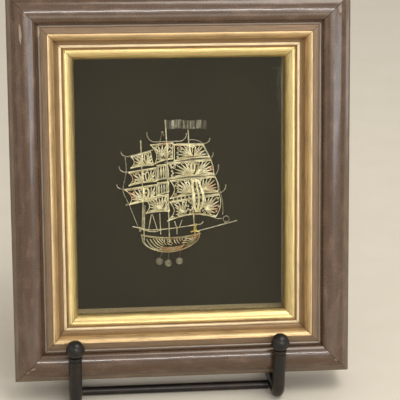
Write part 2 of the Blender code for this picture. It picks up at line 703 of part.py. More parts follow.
def add_pennant(name, left, right, foot, head, collection, lean):
    """A waving strip of thin silver."""
    count = 12
    shape = bmesh.new()
    line = []
    for step in range(count + 1):
        share = step / count
        wave = PENNANT_WAVE * math.sin(2.5 * math.pi * share)
        line.append(shape.verts.new(ship_point(left + (right - left) * share, foot, MAST_LIFT + wave)))
    edges = [shape.edges.new(pair) for pair in zip(line, line[1:])]
    raised = bmesh.ops.extrude_edge_only(shape, edges=edges)["geom"]
    rise = Vector((0, 0, (head - foot) * DRAWN))
    bmesh.ops.translate(shape, vec=rise, verts=[item for item in raised if isinstance(item, bmesh.types.BMVert)])
    strip = place(name, mesh_from(name, shape), "silver", collection, lean)
    shell = strip.modifiers.new("thickness", "SOLIDIFY")
    shell.thickness = PENNANT_SHEET
    shell.offset = 0


def add_pendant(name, along, disc_at, collection, lean):
    """A flat silver disc hung from the keel on a short wire."""
    keel_x, keel_z = hull_outline(along, 1.0)
    top_of_disc = (disc_at[0], disc_at[1] + DISC / DRAWN / 2 - PENDANT_SLACK)
    stem = wire(name, ((keel_x, keel_z - PENDANT_SLACK), top_of_disc), SAIL_LIFT, STAY_WIRE, collection, lean)
    radius = DISC / 2
    half = DISC_THICKNESS / 2
    floor = half * (1 - DISC_HOLLOW)
    inside = radius * (1 - DISC_RIM)
    profile = ((0, floor), (inside * 0.9, floor), (inside, half), (radius, half * 0.8), (radius, -half), (0, -half))
    disc = place(name + "_disc", turned(name + "_disc", profile, 16), "silver", collection, lean)
    disc.location = ship_point(*disc_at, SAIL_LIFT)
    disc.rotation_euler = (math.pi / 2, 0, 0)
    fused([stem, disc])


def add_ring(collection, lean):
    """The small ring that ties the stay to the bowsprit."""
    turns = 16
    curve = rod("bow_ring", [ship_point(*at, YARD_LIFT) for at in circle(*RING_AT, RING / DRAWN / 2, turns)],
                YARD_WIRE, WIRE_SIDES)
    curve.splines[0].use_cyclic_u = True
    place("bow_ring", curve, "silver", collection, lean)


def add_ship(collection, lean):
    """Every piece of the wire ship."""
    wire("mizzen_mast", MIZZEN_MAST, MAST_LIFT, MAST_WIRE, collection, lean)
    wire("main_mast", MAIN_MAST, MAST_LIFT, MAST_WIRE, collection, lean)
    wire("fore_mast", FORE_MAST, MAST_LIFT, MAST_WIRE, collection, lean)
    wire("mast_brace", MAST_BRACE, STAY_LIFT, STAY_WIRE, collection, lean)
    wire("bowsprit", BOWSPRIT, MAST_LIFT, MAST_WIRE, collection, lean)
    wire("stay_left", smooth_line(STAY_LEFT), STAY_LIFT, STAY_WIRE, collection, lean)
    wire("stay_right", smooth_line(STAY_RIGHT), STAY_LIFT, STAY_WIRE, collection, lean)
    wire("sheet_line", smooth_line(SHEET), STAY_LIFT, STAY_WIRE, collection, lean)
    boom = wire("deck_rail", smooth_line(BOOM), YARD_LIFT, YARD_WIRE, collection, lean)
    uprights = [wire("upright_%d" % number, ends, YARD_LIFT, STAY_WIRE, collection, lean)
                for number, ends in enumerate(UPRIGHTS)]
    fused([boom] + uprights)
    for sail in SAILS:
        add_sail(sail, collection, lean)
    for yard in YARDS:
        add_yard(yard, collection, lean)
    add_hull(collection, lean)
    for number, places in enumerate(PENDANTS, 1):
        add_pendant("pendant_%d" % number, *places, collection, lean)
    add_ring(collection, lean)
    for pennant in PENNANTS:
        add_pennant(*pennant, collection, lean)


def main():
    clear_scene()
    collection = bpy.data.collections.new("framed_wire_ship")
    bpy.context.scene.collection.children.link(collection)
    lean = bpy.data.objects.new("frame_lean", None)
    collection.objects.link(lean)
    lean.location = frame_origin()
    lean.rotation_euler = (-LEAN, 0, 0)
    add_moulding(collection, lean)
    add_contents(collection, lean)
    add_hanger(collection, lean)
    add_easel(collection)
    add_ship(collection, lean)


main()
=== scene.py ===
# %% [markdown]
# # A silver wire ship in a gilt shadow box
#
# The object is a sailing ship of silver filigree, held in front of black velvet behind glass. Its
# frame is a brown and gilt moulding, and the frame leans on a small easel of bent black rod.
# The CAD model gives every piece its size and place. This lesson gives each piece the surface of
# the real one, and makes the wirework, which is far too fine for a solid model.

# %% Load the model that the looks are built around
import math
import random

import bpy
from mathutils import Matrix, Vector, noise


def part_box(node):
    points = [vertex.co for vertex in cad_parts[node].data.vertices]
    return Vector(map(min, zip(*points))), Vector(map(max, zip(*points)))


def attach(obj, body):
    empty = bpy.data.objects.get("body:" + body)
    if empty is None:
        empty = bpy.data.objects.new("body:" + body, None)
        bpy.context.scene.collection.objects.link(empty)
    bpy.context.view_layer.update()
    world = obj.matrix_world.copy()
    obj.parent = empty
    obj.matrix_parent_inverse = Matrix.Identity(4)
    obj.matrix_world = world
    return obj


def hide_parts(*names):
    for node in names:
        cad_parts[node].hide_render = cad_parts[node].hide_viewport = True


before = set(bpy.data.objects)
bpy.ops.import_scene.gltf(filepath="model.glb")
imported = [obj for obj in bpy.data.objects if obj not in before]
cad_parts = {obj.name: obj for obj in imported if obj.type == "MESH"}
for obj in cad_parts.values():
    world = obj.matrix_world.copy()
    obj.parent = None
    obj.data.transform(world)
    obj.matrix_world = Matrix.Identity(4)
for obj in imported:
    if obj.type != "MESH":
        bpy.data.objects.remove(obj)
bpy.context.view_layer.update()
print("pieces in the CAD model:", len(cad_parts))

# %% [markdown]
# The frame leans back by 13 degrees. Everything in it is easier to model upright, in a space where
# x runs across, y runs back from the moulding's front and z runs up from its bottom edge. One
# matrix leans each finished piece. Its place is found from the pane of glass, which is a plain
# slab, so that the corners of its box tell where the leaning corner is.

# %% Lean of the frame
LEAN = math.radians(13.0)
GLASS_FRONT = 0.0138
GLASS_BACK = 0.0158
GLASS_FOOT = 0.0290
FRAME_WIDTH = 0.1850
FRAME_HEIGHT = 0.2104
FRAME_DEPTH = 0.0309
pane_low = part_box("glass_pane")[0]
corner = Vector((
    0,
    pane_low.y - GLASS_FOOT * math.sin(LEAN) - GLASS_FRONT * math.cos(LEAN),
    pane_low.z - GLASS_FOOT * math.cos(LEAN) + GLASS_BACK * math.sin(LEAN),
))
lean_back = Matrix.Translation(corner) @ Matrix.Rotation(-LEAN, 4, "X")
print("the frame's front corner stands at", tuple(round(value, 5) for value in corner))

# %% [markdown]
# The camera stands a little to the left of the frame and above it, and looks down. Its place was
# worked out from the corners of the frame and of the sight opening, in the frame's own upright
# space, so it is leaned with the frame. A long lens keeps the verticals nearly parallel.

# %% Camera
CAMERA_AT = Vector((-0.0808, -0.7964, 0.2233))
CAMERA_YAW = math.radians(-6.45)
CAMERA_PITCH = math.radians(-8.805)
CAMERA_ROLL = math.radians(0.45)
camera_data = bpy.data.cameras.new("camera")
camera_data.sensor_width = 36.0
camera_data.lens = 135.0
camera_data.clip_start = 0.01
camera = bpy.data.objects.new("camera", camera_data)
bpy.context.scene.collection.objects.link(camera)
turn = Matrix.Rotation(CAMERA_YAW, 4, "Z") @ Matrix.Rotation(CAMERA_PITCH, 4, "X")
turn = turn @ Matrix.Rotation(CAMERA_ROLL, 4, "Y") @ Matrix.Rotation(math.pi / 2, 4, "X")
camera.matrix_world = lean_back @ Matrix.Translation(CAMERA_AT) @ turn
bpy.context.scene.camera = camera
print("camera height:", round(camera.matrix_world.translation.z, 3), "m")

# %% [markdown]
# The light is that of a quiet room. The room itself is a ramp on how high the light comes from:
# palest between some 25 and 40 degrees above the horizon, darker below and overhead, which gives
# the gilding something to mirror. In it are a broad soft source above and to the right, a weak
# one on the left, and a low window in front and to the right. Their places follow from the sheen
# on the moulding. On the upright rolls it lies where the surface turns some 10 degrees to the
# right, which gives the window. The top and bottom rolls carry a thin white line along their
# crests, which gives a long narrow strip of light over the camera. The inner bands of the top
# rail face down and are bright, so a pale sheet lies on the floor, well in front. The colours
# are shown as they are, with no film curve, so that a colour read from the photograph can be
# used for a finish.

# %% Room
ROOM_SHADES = (
    (0.30, (0.50, 0.48, 0.44, 1.0)), (0.42, (0.94, 0.87, 0.80, 1.0)),
    (0.66, (0.94, 0.87, 0.80, 1.0)), (0.84, (0.52, 0.50, 0.47, 1.0)),
)
ROOM_STRENGTH = 0.98


def set_stops(ramp, stops):
    """Give a colour ramp its stops, from low to high."""
    while len(ramp.elements) < len(stops):
        ramp.elements.new(0.5)
    for element, (position, colour) in zip(ramp.elements, stops):
        element.position = position
        element.color = colour


bpy.context.scene.view_settings.view_transform = "Standard"
world = bpy.data.worlds.new("room")
bpy.context.scene.world = world
world.use_nodes = True
room = world.node_tree
direction = room.nodes.new("ShaderNodeTexCoord")
upward = room.nodes.new("ShaderNodeSeparateXYZ")
shades = room.nodes.new("ShaderNodeValToRGB")
background = room.nodes["Background"]
set_stops(shades.color_ramp, ROOM_SHADES)
background.inputs["Strength"].default_value = ROOM_STRENGTH
room.links.new(direction.outputs["Generated"], upward.inputs[0])
room.links.new(upward.outputs["Z"], shades.inputs[0])
room.links.new(shades.outputs[0], background.inputs["Color"])
print("room shades:", len(shades.color_ramp.elements))

# %% Lights
OBJECT_MIDDLE = (0, 0, 0.10)


def add_light(name, at, aim, width, height, watts, colour):
    """A soft rectangle of light that faces a point."""
    data = bpy.data.lights.new(name, "AREA")
    data.shape = "RECTANGLE"
    data.size = width
    data.size_y = height
    data.energy = watts
    data.color = colour
    light = bpy.data.objects.new(name, data)
    bpy.context.scene.collection.objects.link(light)
    light.location = at
    light.rotation_euler = (Vector(aim) - Vector(at)).to_track_quat("-Z", "Y").to_euler()


add_light("ceiling_light", (0.35, -0.35, 1.10), OBJECT_MIDDLE, 0.7, 0.5, 5.8, (1.0, 0.96, 0.88))
add_light("window_light", (0.83, -1.23, 0.335), OBJECT_MIDDLE, 1.2, 0.18, 3.2, (0.84, 0.92, 1.0))
add_light("left_fill", (-0.90, -0.80, 0.50), OBJECT_MIDDLE, 0.8, 0.8, 1.0, (1.0, 0.97, 0.92))
add_light("front_strip", (0.15, -1.35, 0.58), OBJECT_MIDDLE, 0.7, 0.07, 4.5, (1.0, 0.98, 0.94))
add_light("floor_sheet", (0.0, -1.10, 0.01), (0, -1.10, 1.0), 1.4, 1.3, 9.0, (1.0, 0.97, 0.88))
print("lights:", len(bpy.data.lights))

# %% [markdown]
# Shader sums read best as sums. One small class wraps a socket that varies over the surface, so
# that 1 - mask or grain * 0.3 adds the Math node it needs. A second one holds the node tree of a
# finish. Colours go through a Mix node, because a Math node would turn them grey.

# %% Shader helpers
class Varying:
    """A value that varies over a surface: one output socket."""

    def __init__(self, finish, socket):
        self.finish = finish
        self.socket = socket

    def __add__(self, other):
        return self.finish.sum("ADD", self, other)

    def __sub__(self, other):
        return self.finish.sum("SUBTRACT", self, other)

    def __rsub__(self, other):
        return self.finish.sum("SUBTRACT", other, self)

    def __mul__(self, other):
        return self.finish.sum("MULTIPLY", self, other)

    __radd__ = __add__
    __rmul__ = __mul__


class Finish:
    """The material of one surface, with its plain values set on the shader itself."""

    def __init__(self, name, plain):
        self.material = bpy.data.materials.new(name)
        self.material.use_nodes = True
        self.tree = self.material.node_tree
        self.shader = self.tree.nodes["Principled BSDF"]
        for socket, value in plain.items():
            self.shader.inputs[socket].default_value = value

    def node(self, kind, settings, inputs, output=0):
        """Add a node: its settings, then the values or links of its sockets."""
        made = self.tree.nodes.new("ShaderNode" + kind)
        for key, value in settings.items():
            if key == "stops":
                set_stops(made.color_ramp, value)
            elif key == "interpolation":
                made.color_ramp.interpolation = value
            else:
                setattr(made, key, value)
        for socket, value in inputs.items():
            self.feed(made.inputs[socket], value)
        return Varying(self, made.outputs[output])

    def feed(self, socket, value):
        if isinstance(value, Varying):
            self.tree.links.new(value.socket, socket)
        else:
            socket.default_value = value

    def sum(self, operation, first, second, clamp=False):
        settings = {"operation": operation, "use_clamp": clamp}
        return self.node("Math", settings, {0: first, 1: second})

    def clamp(self, value):
        return self.sum("ADD", value, 0.0, True)

    def blend(self, share, first, second):
        """A colour part of the way between two."""
        return self.node("Mix", {"data_type": "RGBA"}, {0: share, 6: first, 7: second}, 2)

    def step(self, value, low, high):
        """0 below low, 1 above high, smooth between."""
        settings = {"interpolation_type": "SMOOTHSTEP"}
        return self.node("MapRange", settings, {0: value, 1: low, 2: high})

    def banded(self, value, stops):
        """The colour of the stop that a value has passed, with hard edges between them."""
        settings = {"interpolation": "CONSTANT", "stops": stops}
        return self.node("ValToRGB", settings, {0: value})

    def object_place(self):
        return self.node("TexCoord", {}, {}, "Object")

    def scaled(self, place, size):
        return self.node("VectorMath", {"operation": "MULTIPLY"}, {0: place, 1: size})

    def noise(self, place, scale, detail=3.0, roughness=0.5):
        sockets = {"Vector": place, "Scale": scale, "Detail": detail, "Roughness": roughness}
        return self.node("TexNoise", {}, sockets)

    def cells(self, place, scale, output="Distance"):
        sockets = {"Vector": place, "Scale": scale}
        return self.node("TexVoronoi", {"feature": "F1"}, sockets, output)

    def bump(self, height, strength, distance):
        made = self.node("Bump", {}, {"Strength": strength, "Distance": distance, "Height": height})
        self.feed(self.shader.inputs["Normal"], made)

    def wear(self, **sockets):
        """Feed what varies to the shader: base_color=..., roughness=... and so on."""
        for name, value in sockets.items():
            self.feed(self.shader.inputs[name.replace("_", " ").title()], value)
        return self.material


def shade(red, green, blue):
    """The linear colour of a surface that reads as these 0 to 255 values in even light."""
    linear = [((part / 255 + 0.055) / 1.055) ** 2.4 if part > 10 else part / 255 / 12.92
              for part in (red, green, blue)]
    return (*linear, 1.0)


def grey(value):
    return (value, value, value, 1.0)


print("mid brown is", tuple(round(part, 3) for part in shade(105, 88, 70)))

# %% [markdown]
# A finished piece keeps its place in its mesh, with its object at the origin, as the CAD nodes
# have theirs.

# %% Placing helpers
def clear_selection():
    if bpy.context.mode != "OBJECT":
        bpy.ops.object.mode_set(mode="OBJECT")
    bpy.ops.object.select_all(action="DESELECT")


def pick(thing):
    """Make one object the selected and active one."""
    clear_selection()
    thing.select_set(True)
    bpy.context.view_layer.objects.active = thing


def settle(piece, name, finish, stands_for=(), leaning=True):
    """Name, lean, dress and attach one finished piece, and hide the CAD pieces it stands for."""
    pick(piece)
    bpy.ops.object.transform_apply(location=True, rotation=True, scale=True)
    piece.name = piece.data.name = name
    if leaning:
        piece.data.transform(lean_back)
    piece.data.materials.clear()
    piece.data.materials.append(finish)
    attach(piece, "root")
    if stands_for:
        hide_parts(*stands_for)
    return piece


def dress(node, finish):
    """Give a CAD piece that keeps its shape a better finish."""
    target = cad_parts[node]
    if not target.material_slots:
        target.data.materials.append(finish)
    for place in target.material_slots:
        place.material = finish


def triangles(piece):
    return sum(len(face.vertices) - 2 for face in piece.data.polygons)


# %% [markdown]
# ## The moulding
#
# The real moulding is one run of wood, shaped with cutters, covered in gesso, painted brown and
# gilded on its inner bands, then sawn at 45 degrees. So it is made here once as a section, pulled
# out to its length, and cut again into short lengths along it, so that the surface can be made
# uneven. Its bands are the CAD model's: width, front depth at start and end, and how far the band
# swells forward, in metres.

# %% Section of the moulding
BANDS = (
    (0.0026, 0.0048, 0.0044, 0.0000),    # outer step
    (0.0130, 0.0042, 0.0034, 0.0037),    # large brown roll
    (0.0006, 0.0042, 0.0042, 0.0000),    # quirk
    (0.0016, 0.0034, 0.0032, 0.0009),    # small bead
    (0.0032, 0.0028, 0.0020, 0.0002),    # worn copper step
    (0.0036, 0.0022, 0.0050, 0.0016),    # tan ridge
    (0.0025, 0.0050, 0.0080, -0.0009),   # cove
    (0.0017, 0.0080, 0.0080, 0.0003),    # pale fillet
    (0.0007, 0.0090, 0.0090, 0.0000),    # shadow line
    (0.00585, 0.0087, 0.0118, 0.0020),   # gilt roll
)
EDGE_CHAMFER = 0.0008
LIP_BACK = 0.0135
RABBET_AT = 0.0287
BACK_CHAMFER = 0.0005
MITRE_TRIM = 0.00008
SECTION_STEP = 0.00030


def moulding_section():
    """Points of the section: distance in from the outer edge, and depth."""
    outline = [(0.0, BANDS[0][1] + EDGE_CHAMFER)]
    across = 0.0
    for width, start, end, rise in BANDS:
        inset = EDGE_CHAMFER if across == 0.0 else 0.0
        steps = max(2, round(width / SECTION_STEP))
        for step in range(steps + 1):
            angle = math.pi * step / steps
            share = (1 - math.cos(angle)) / 2
            depth = start + (end - start) * share - rise * math.sin(angle)
            outline.append((across + inset + (width - inset) * share, depth))
        across += width
    return outline, across


def eased(outline):
    """The same line with its corners eased, as gesso and paint leave them."""
    middle = [tuple((a + 2 * b + c) / 4 for a, b, c in zip(*trio))
              for trio in zip(outline, outline[1:], outline[2:])]
    return [outline[0]] + middle + [outline[-1]]


face_line, moulding_width = moulding_section()
back_line = [(moulding_width, LIP_BACK), (RABBET_AT, LIP_BACK), (RABBET_AT, FRAME_DEPTH),
             (BACK_CHAMFER, FRAME_DEPTH), (0.0, FRAME_DEPTH - BACK_CHAMFER)]
section = eased(face_line) + back_line
print("section points:", len(section), " moulding width:", round(moulding_width * 1000, 2), "mm")

# %% [markdown]
# Old knocks show as pale gesso where the paint has gone. Each one is a shallow oval dent, named
# by the rail it is on, its place along the rail and in from the edge, half its length and width,
# and its depth, all in metres. The dent goes into the mesh, and a mask on the same points lets
# the finish show the gesso.

# %% Knocks in the moulding
KNOCKS = {
    "rail_left": (
        (-0.0843, 0.0074, 0.0047, 0.0007, 0.00018),
        (-0.0862, 0.0169, 0.0042, 0.0009, 0.00012),
    ),
    "rail_bottom": (
        (-0.0862, 0.0064, 0.0009, 0.0008, 0.00025),
        (-0.0824, 0.0078, 0.0009, 0.0007, 0.00020),
        (0.0850, 0.0073, 0.0010, 0.0007, 0.00022),
    ),
    "rail_right": ((0.0955, 0.0066, 0.0020, 0.0006, 0.00020),),
    "rail_top": ((-0.0905, 0.0008, 0.0016, 0.0008, 0.00018),),
}
UNEVEN = 0.00009
WORKED_DEPTH = LIP_BACK - 0.0005


def weather(rail, knocks):
    """Make a rail's surface slightly uneven and press its knocks in; mark them in an attribute."""
    mask = rail.data.attributes.new("knock", "FLOAT", "POINT")
    rail.data.update()
    for vertex in rail.data.vertices:
        along, depth, across = vertex.co
        wave = noise.noise((along * 90, across * 260, depth * 120)) + 1
        push = UNEVEN * wave * 0.5
        bare = 0.0
        for middle, inward, half_length, half_width, deep in knocks:
            far = ((along - middle) / half_length) ** 2 + ((across - inward) / half_width) ** 2
            ragged = far * (1 + 0.7 * noise.noise((along * 1500, across * 1500, 3.0)))
            if ragged < 1:
                push += deep * (1 - ragged) ** 0.5
                bare = max(bare, min(1.0, (1 - ragged) * 2.5))
        if depth < WORKED_DEPTH:
            vertex.co -= vertex.normal * push
        mask.data[vertex.index].value = bare


# %% [markdown]
# The section starts as a filled circle with as many corners as the section has points. The
# corners are moved to the section, slanted for the mitre. The face is then extruded, and its copy
# is scaled by -1 along the rail, which carries it to the other end with its mitre the other way.

# %% One length of moulding
RAIL_STEP = 0.0013


def pull_rail(length, knocks):
    """A mitred length along x, front towards -y, its outer edge at z = 0."""
    clear_selection()
    bpy.ops.mesh.primitive_circle_add(vertices=len(section), radius=0.01, fill_type="NGON")
    rail = bpy.context.object
    for vertex, (across, depth) in zip(rail.data.vertices, section):
        vertex.co = (MITRE_TRIM + across - length / 2, depth, across)
    bpy.ops.object.mode_set(mode="EDIT")
    bpy.ops.mesh.select_all(action="SELECT")
    bpy.ops.mesh.extrude_region_move()
    bpy.ops.transform.resize(value=(-1, 1, 1), center_override=(0, 0, 0))
    bpy.ops.mesh.select_all(action="SELECT")
    bpy.ops.mesh.normals_make_consistent(inside=False)
    bpy.ops.mesh.select_all(action="DESELECT")
    bpy.ops.object.mode_set(mode="OBJECT")
    points = rail.data.vertices
    for edge in rail.data.edges:
        start, stop = (points[index].co for index in edge.vertices)
        edge.select = start.x * stop.x < 0 and abs(start.z - stop.z) < 1e-6
    bpy.context.tool_settings.mesh_select_mode = (False, True, False)
    bpy.ops.object.mode_set(mode="EDIT")
    bpy.ops.mesh.subdivide(number_cuts=round(length / RAIL_STEP))
    bpy.ops.object.mode_set(mode="OBJECT")
    weather(rail, knocks)
    sheet = rail.data.uv_layers.new(name="run")
    for loop in rail.data.loops:
        along, _, across = rail.data.vertices[loop.vertex_index].co
        sheet.data[loop.index].uv = (along, across)
    bpy.ops.object.shade_smooth_by_angle(angle=math.radians(35))
    return rail


# %% [markdown]
# The finish follows the bands. A ramp with hard steps reads how far across the moulding a point
# is, and gives the colour of each band; a second ramp gives how metallic it is, since the inner
# bands are gilded or bronzed and the outer ones painted. Streaks that run with the length, fine
# specks and rubbed edges are then laid over it, pale glints are painted on the gilding as
# highlights, and the knocks show pale gesso.

# %% Finish of the moulding
PAINT = shade(78, 54, 34)
BAND_COLOURS = (
    shade(94, 76, 56), PAINT, shade(116, 98, 82), shade(122, 106, 92), shade(126, 104, 80),
    shade(214, 184, 138), shade(140, 112, 76), shade(226, 206, 168), shade(158, 124, 84),
    shade(220, 197, 138),
)
BAND_METAL = (0.0, 0.0, 0.0, 0.10, 0.40, 0.70, 0.40, 0.55, 0.2, 0.90)
BAND_ROUGH = (0.45, 0.27, 0.60, 0.40, 0.48, 0.40, 0.50, 0.45, 0.60, 0.38)


def band_stops(values):
    """A value for each band, placed by how far across the moulding the band starts."""
    stops = []
    across = 0.0
    for (width, *_), value in zip(BANDS, values):
        stops.append((across / moulding_width, value))
        across += width
    return stops


def moulding_finish():
    """Brown lacquer and worn gilding, band by band."""
    finish = Finish("aged_moulding", {"Coat Roughness": 0.10})
    place = finish.node("UVMap", {"uv_map": "run"}, {})
    across = finish.node("SeparateXYZ", {}, {0: place}, "Y") * (1 / moulding_width)
    colour = finish.banded(across, band_stops(BAND_COLOURS))
    metal = finish.banded(across, band_stops([grey(value) for value in BAND_METAL]))
    rough = finish.banded(across, band_stops([grey(value) for value in BAND_ROUGH]))
    streaks = finish.noise(finish.scaled(place, (60, 2600, 1)), 1.0, 4.0, 0.6)
    blotches = finish.noise(finish.scaled(place, (70, 160, 1)), 1.0, 4.0, 0.6)
    specks = finish.noise(finish.scaled(place, (1500, 2400, 1)), 1.0, 2.0, 0.7)
    gilded = finish.step(metal, 0.1, 0.5)
    dark = finish.blend(finish.step(streaks, 0.42, 0.66) * 0.35, colour, shade(40, 26, 16))
    clouded = finish.blend(finish.step(blotches, 0.45, 0.75) * 0.30, dark, shade(140, 112, 92))
    rubbed = finish.step(specks, 0.62, 0.74) * finish.step(blotches, 0.40, 0.60) * gilded
    worn = finish.blend(rubbed * 0.75, clouded, shade(92, 52, 30))
    # The glints are painted highlights: pale specks of light put into the gilding's colour.
    painted_glints = finish.step(1 - specks, 0.66, 0.76) * gilded
    bright = finish.blend(painted_glints * 0.6, worn, shade(250, 226, 176))
    gesso = finish.node("Attribute", {"attribute_name": "knock"}, {}, "Fac")
    bared = finish.step(gesso + specks * 0.4, 0.45, 0.75)
    final = finish.blend(bared * 0.60, bright, shade(172, 152, 132))
    finish.bump(streaks * 0.4 + specks * 0.6, 0.35, 0.00010)
    roughness = finish.clamp(rough + (specks - 0.5) * 0.35 + bared * 0.4)
    lacquer = (1 - gilded) * (1 - bared) * 0.6
    return finish.wear(base_color=final, roughness=roughness, metallic=metal * (1 - bared),
                       coat_weight=lacquer)


def raw_wood_finish():
    """Bare sawn wood on the back of the rails, gone grey-brown."""
    finish = Finish("raw_wood", {"Specular IOR Level": 0.3})
    place = finish.node("UVMap", {"uv_map": "run"}, {})
    grain = finish.noise(finish.scaled(place, (22, 900, 1)), 1.0, 5.0, 0.6)
    rings = finish.noise(finish.scaled(place, (9, 190, 1)), 1.0, 2.0)
    pale = finish.blend(finish.step(grain, 0.35, 0.65), shade(176, 142, 100), shade(138, 104, 68))
    final = finish.blend(finish.step(rings, 0.45, 0.60) * 0.5, pale, shade(112, 80, 50))
    finish.bump(grain, 0.4, 0.00015)
    return finish.wear(base_color=final, roughness=grain * 0.2 + 0.68)


aged_moulding = moulding_finish()
raw_wood = raw_wood_finish()
print("moulding finish nodes:", len(aged_moulding.node_tree.nodes))

# %% [markdown]
# Four rails are pulled, two for the width and two for the height, and each is turned to its side
# about the middle of the frame. The faces behind the lip stay bare wood.

# %% The four rails
SIDES = (
    ("rail_bottom", FRAME_WIDTH, (0, 0, 0), 0.0),
    ("rail_top", FRAME_WIDTH, (0, 0, FRAME_HEIGHT), math.pi),
    ("rail_left", FRAME_HEIGHT, (-FRAME_WIDTH / 2, 0, FRAME_HEIGHT / 2), math.pi / 2),
    ("rail_right", FRAME_HEIGHT, (FRAME_WIDTH / 2, 0, FRAME_HEIGHT / 2), -math.pi / 2),
)
BACK_DEPTH = LIP_BACK - 0.0002
upright = lean_back.inverted()
backwards = lean_back.to_3x3() @ Vector((0, 1, 0))
for name, length, where, angle in SIDES:
    rail = pull_rail(length, KNOCKS[name])
    rail.location = where
    rail.rotation_euler = (0, angle, 0)
    settle(rail, name + "_moulding", aged_moulding, (name,))
    rail.data.materials.append(raw_wood)
    for face in rail.data.polygons:
        behind = (upright @ face.center).y > BACK_DEPTH
        if behind and abs(face.normal.dot(backwards)) > 0.9:
            face.material_index = 1
    print(rail.name, triangles(rail), "triangles")

# %% [markdown]
# ## Glass, card and velvet
#
# The pane is clear, so its shader is plain values only: a little mirror on a surface that is
# nearly all see-through. The strips that hold it off the velvet are tan card with a cut edge. The
# velvet has a nap that lies in patches, and a few specks of dust that came in with it.

# %% Finishes behind the moulding
DUST_CELLS = 170.0


def glass_finish():
    finish = Finish("clear_glass", {
        "Base Color": (1.0, 0.93, 0.68, 1.0), "Metallic": 1.0, "Roughness": 0.04, "Alpha": 0.034,
    })
    return finish.material


def card_finish(name, light, dark, fibre):
    """Card with short pressed fibres."""
    finish = Finish(name, {"Specular IOR Level": 0.25})
    place = finish.object_place()
    pulp = finish.noise(finish.scaled(place, (1, 1, 3)), fibre, 5.0, 0.65)
    stain = finish.noise(place, 45.0, 3.0)
    base = finish.blend(finish.step(pulp, 0.35, 0.65), light, dark)
    final = finish.blend(finish.step(stain, 0.50, 0.75) * 0.35, base, dark)
    finish.bump(pulp, 0.5, 0.00008)
    return finish.wear(base_color=final, roughness=pulp * 0.15 + 0.78)


def velvet_finish():
    """Black velvet: a deep nap brushed in patches, with a little dust."""
    finish = Finish("black_velvet", {
        "Sheen Weight": 0.08, "Sheen Roughness": 0.45, "Sheen Tint": (0.9, 0.85, 0.7, 1.0),
        "Specular IOR Level": 0.1,
    })
    place = finish.object_place()
    nap = finish.noise(place, 9000.0, 1.0, 0.5)
    brushed = finish.noise(finish.scaled(place, (1, 1, 0.45)), 26.0, 3.0)
    pile = finish.blend(finish.step(brushed, 0.35, 0.70), shade(24, 21, 14), shade(31, 28, 18))
    chance = finish.cells(place, DUST_CELLS, "Color")
    rare = finish.step(finish.node("SeparateXYZ", {}, {0: chance}, "X"), 0.955, 0.96)
    dots = (1 - finish.step(finish.cells(place, DUST_CELLS), 0.035, 0.06)) * rare
    final = finish.blend(dots * 0.8, pile, shade(165, 158, 140))
    finish.bump(nap, 0.04, 0.00003)
    return finish.wear(base_color=final, roughness=nap * 0.1 + 0.85)


clear_glass = glass_finish()
tan_card = card_finish("tan_card", shade(176, 162, 124), shade(142, 126, 92), 900.0)
brown_board = card_finish("brown_board", shade(140, 108, 74), shade(112, 84, 56), 420.0)
black_velvet = velvet_finish()
dress("glass_pane", clear_glass)
dress("velvet_mount", black_velvet)
dress("backing_board", brown_board)
for side in ("bottom", "top", "left", "right"):
    dress("spacer_" + side, tan_card)

# %% [markdown]
# ## The hanger
#
# The stamped plate and its nails keep the CAD model's shape. Thin brass plate is rolled, so its
# finish has fine lines along its length, and handling has dulled it in patches.

# %% Brass
def brass_finish():
    finish = Finish("rolled_brass", {"Metallic": 1.0})
    place = finish.object_place()
    rolled = finish.noise(finish.scaled(place, (40, 2500, 2500)), 1.0, 3.0)
    dull = finish.noise(place, 160.0, 4.0, 0.6)
    final = finish.blend(finish.step(dull, 0.40, 0.70), shade(218, 178, 104), shade(150, 112, 62))
    finish.bump(rolled, 0.3, 0.00005)
    return finish.wear(base_color=final, roughness=dull * 0.35 + 0.18)


rolled_brass = brass_finish()
for node in ("sawtooth_hanger", "hanger_nail_left", "hanger_nail_right"):
    dress(node, rolled_brass)

# %% [markdown]
# ## The easel
#
# Each side of the easel is one rod of iron, bent cold: up to the ball in front, along the table,
# up behind as a strut, and up again behind the frame. A curve with a round bevel is how such a
# bar is made in Blender. The route is the CAD model's, with more steps in its bends. The rod is
# painted satin black over iron, and the paint has a faint orange-peel.

# %% Route of a rod
GAP = 0.0003
TABLE_GAP = GAP / 10
ROD = 0.0071
ROD_RADIUS = 0.00340
FRONT_BEND = 0.0045
REAR_BEND = 0.0090
REST_BEND = 0.0120
REST_LOW = 0.0950
REST_HIGH = 0.1260
CROSSBAR = 0.0050
NECK = 0.0064


def bent_path(corners, radii, steps=10):
    """Straight runs between corners, each inner corner turned into an arc."""
    path = [corners[0]]
    for before, bend, after, radius in zip(corners, corners[1:], corners[2:], radii):
        back = (before - bend).normalized()
        ahead = (after - bend).normalized()
        half_angle = back.angle(ahead) / 2
        centre = bend + (back + ahead).normalized() * radius / math.sin(half_angle)
        reach = radius / math.tan(half_angle)
        first = bend + back * reach - centre
        last = bend + ahead * reach - centre
        sweep = first.angle(last)
        for step in range(steps + 1):
            share = step / steps
            arm = first * math.sin((1 - share) * sweep) + last * math.sin(share * sweep)
            path.append(centre + arm / math.sin(sweep))
    return path + [corners[-1]]


